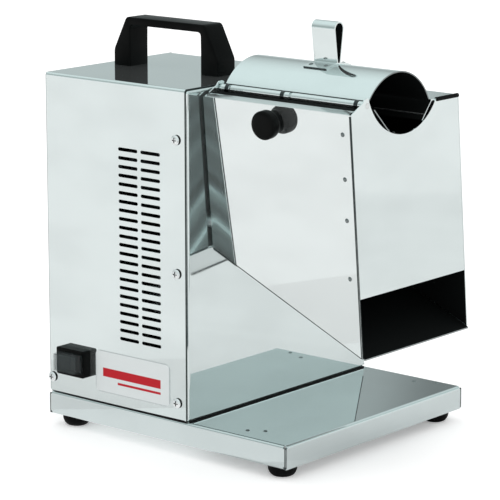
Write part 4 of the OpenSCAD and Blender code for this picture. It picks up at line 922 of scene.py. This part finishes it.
def floor_card(name, azimuth, reach, half):
    """Matt card just above the floor: a strip along azimuth, from reach[0] to reach[1] metres from
    the housing's front corner, that is half[0] metres wide to each side at its start and half[1] at
    its end. Gives its tree, its shader and its coordinates."""
    along, side, start = floor_axes(azimuth)
    (near, far), (near_half, far_half) = reach, half
    places = ((near, -near_half), (far, -far_half), (far, far_half), (near, near_half))
    corners = [(*(start + out * along + across * side), MM) for out, across in places]
    card = plane_mesh(name, corners)
    card.visible_camera = card.visible_diffuse = False
    card.visible_shadow = card.visible_transmission = False
    material, tree, shader, coordinates = new_material(name)
    feed(tree, shader, MATT)
    card.data.materials.append(material)
    return tree, shader, coordinates


def plain_card(name, azimuth, reach, half, tone, red, glows=False):
    """Floor card of one tone, where red is its share of red. One that glows shows no shadows."""
    tree, shader, _ = floor_card(name, azimuth, reach, half)
    colour = (tone * red, tone, tone, 1.0)
    if glows:
        feed(tree, shader, {"Base Color": BLACK, "Emission Color": colour,
                            "Emission Strength": 1.0})
    else:
        feed(tree, shader, {"Base Color": colour})


def streaked_card(name, azimuth, reach, half, tones, red, streak, bend=0.5, peak=0.0, stripes=()):
    """Floor card from tones[0] at its start to tones[1] at its end, with streaks across it that run
    back towards the machine by bend on both sides of a line peak metres beside its middle. A stripe
    is given by its distance, its half width and its tone."""
    along, side, start = floor_axes(azimuth)
    first = float(start @ along)
    tree, shader, coordinates = floor_card(name, azimuth, reach, half)
    distance = dot(tree, coordinates["Object"], (*along, 0.0))
    offset = dot(tree, coordinates["Object"], (*side, 0.0))
    fade = between(tree, distance, first + reach[0], first + reach[1], *tones)
    aside = calc(tree, "ABSOLUTE", calc(tree, "SUBTRACT", offset, float(start @ side) + peak))
    bent = calc(tree, "MULTIPLY_ADD", aside, bend, distance)
    lanes = put(tree, "ShaderNodeTexNoise", {"W": bent, "Scale": 9.0, "Detail": 3.0},
                noise_dimensions="1D").outputs["Fac"]
    streaks = between(tree, lanes, 0.3, 0.7, 1.0 - streak, 1.0 + streak)
    grey = calc(tree, "MULTIPLY", fade, streaks)
    for place, width, tone in stripes:
        off = calc(tree, "ABSOLUTE", calc(tree, "SUBTRACT", bent, first + place))
        grey = calc(tree, "MAXIMUM", grey, between(tree, off, 0.6 * width, width, tone, 0.0))
    colour = put(tree, "ShaderNodeCombineColor",
                 {"Red": calc(tree, "MULTIPLY", grey, red), "Green": grey, "Blue": grey})
    feed(tree, shader, {"Base Color": colour.outputs["Color"]})


# Walls, as reflections see them: their brightness by the sine of the height above the horizon, and
# their share of red
WALL_TONES = ((0.0, 0.80), (0.10, 0.62), (0.15, 0.54), (0.20, 0.46), (0.27, 0.40), (0.36, 0.50),
              (0.75, 0.92))
WALL_RED = 0.885

# How much brighter the wall on the outlet's side is, the sines between which that fades out, and
# the X of the directions between which it sets in
RIGHT_WALL = 0.55
RIGHT_FADE = (0.3, 0.5)
RIGHT_START = (-0.4, 0.4)

# Tone of the dark far corner of the room, and the X of the directions between which it sets in and
# fades out
DARK_CORNER = 0.52
CORNER_START = (-0.588, -0.562)
CORNER_END = (-0.5, -0.3)


def make_walls():
    """World: white to look at and to light with, and grey walls under a white ceiling in
    reflections."""
    world = bpy.data.worlds.new("studio_light")
    scene.world = world
    world.use_nodes = True
    tree = world.node_tree
    tree.nodes.clear()
    ray = put(tree, "ShaderNodeLightPath").outputs
    way = parts(tree, put(tree, "ShaderNodeTexCoord").outputs["Generated"])
    wall = put(tree, "ShaderNodeValToRGB", {"Fac": way["Z"]})
    stops = wall.color_ramp.elements
    while len(stops) < len(WALL_TONES):
        stops.new(0.5)
    for stop, (place, grey) in zip(stops, WALL_TONES):
        stop.position, stop.color = place, (grey * WALL_RED, grey, grey, 1.0)
    corner = calc(tree, "MAXIMUM", between(tree, way["X"], *CORNER_START, 1.0, DARK_CORNER),
                  between(tree, way["X"], *CORNER_END, DARK_CORNER, 1.0))
    lift = calc(tree, "MULTIPLY_ADD", between(tree, way["X"], *RIGHT_START),
                between(tree, way["Z"], *RIGHT_FADE, RIGHT_WALL, 0.0), corner)
    tones = put(tree, "ShaderNodeVectorMath", {0: wall.outputs["Color"], "Scale": lift},
                operation="SCALE").outputs["Vector"]
    mirrored = tint(tree, ray["Is Glossy Ray"], WHITE, tones)
    seen = calc(tree, "MAXIMUM", ray["Is Camera Ray"], ray["Is Transmission Ray"])
    light = put(tree, "ShaderNodeBackground",
                {"Color": tint(tree, seen, mirrored, WHITE), "Strength": 1.0})
    put(tree, "ShaderNodeOutputWorld", {"Surface": light.outputs["Background"]})


make_floor()
streaked_card("dark_card", azimuth=43.0, reach=(0.42, 2.2), half=(0.15, 0.34), tones=(0.11, 0.06),
              red=0.8, streak=0.9, bend=3.5, peak=0.017,
              stripes=((0.64, 0.011, 0.7), (0.768, 0.012, 0.5)))
plain_card("near_card", azimuth=-43.0, reach=(-0.02, 0.18), half=(0.4, 0.4), tone=0.87, red=0.98,
           glows=True)
plain_card("pale_card", azimuth=-43.0, reach=(0.18, 0.384), half=(0.4, 0.4), tone=0.86, red=1.0)
streaked_card("grey_card", azimuth=140.0, reach=(0.15, 1.6), half=(0.5, 1.2), tones=(0.90, 0.88),
              red=0.99, streak=0.02)
make_walls()
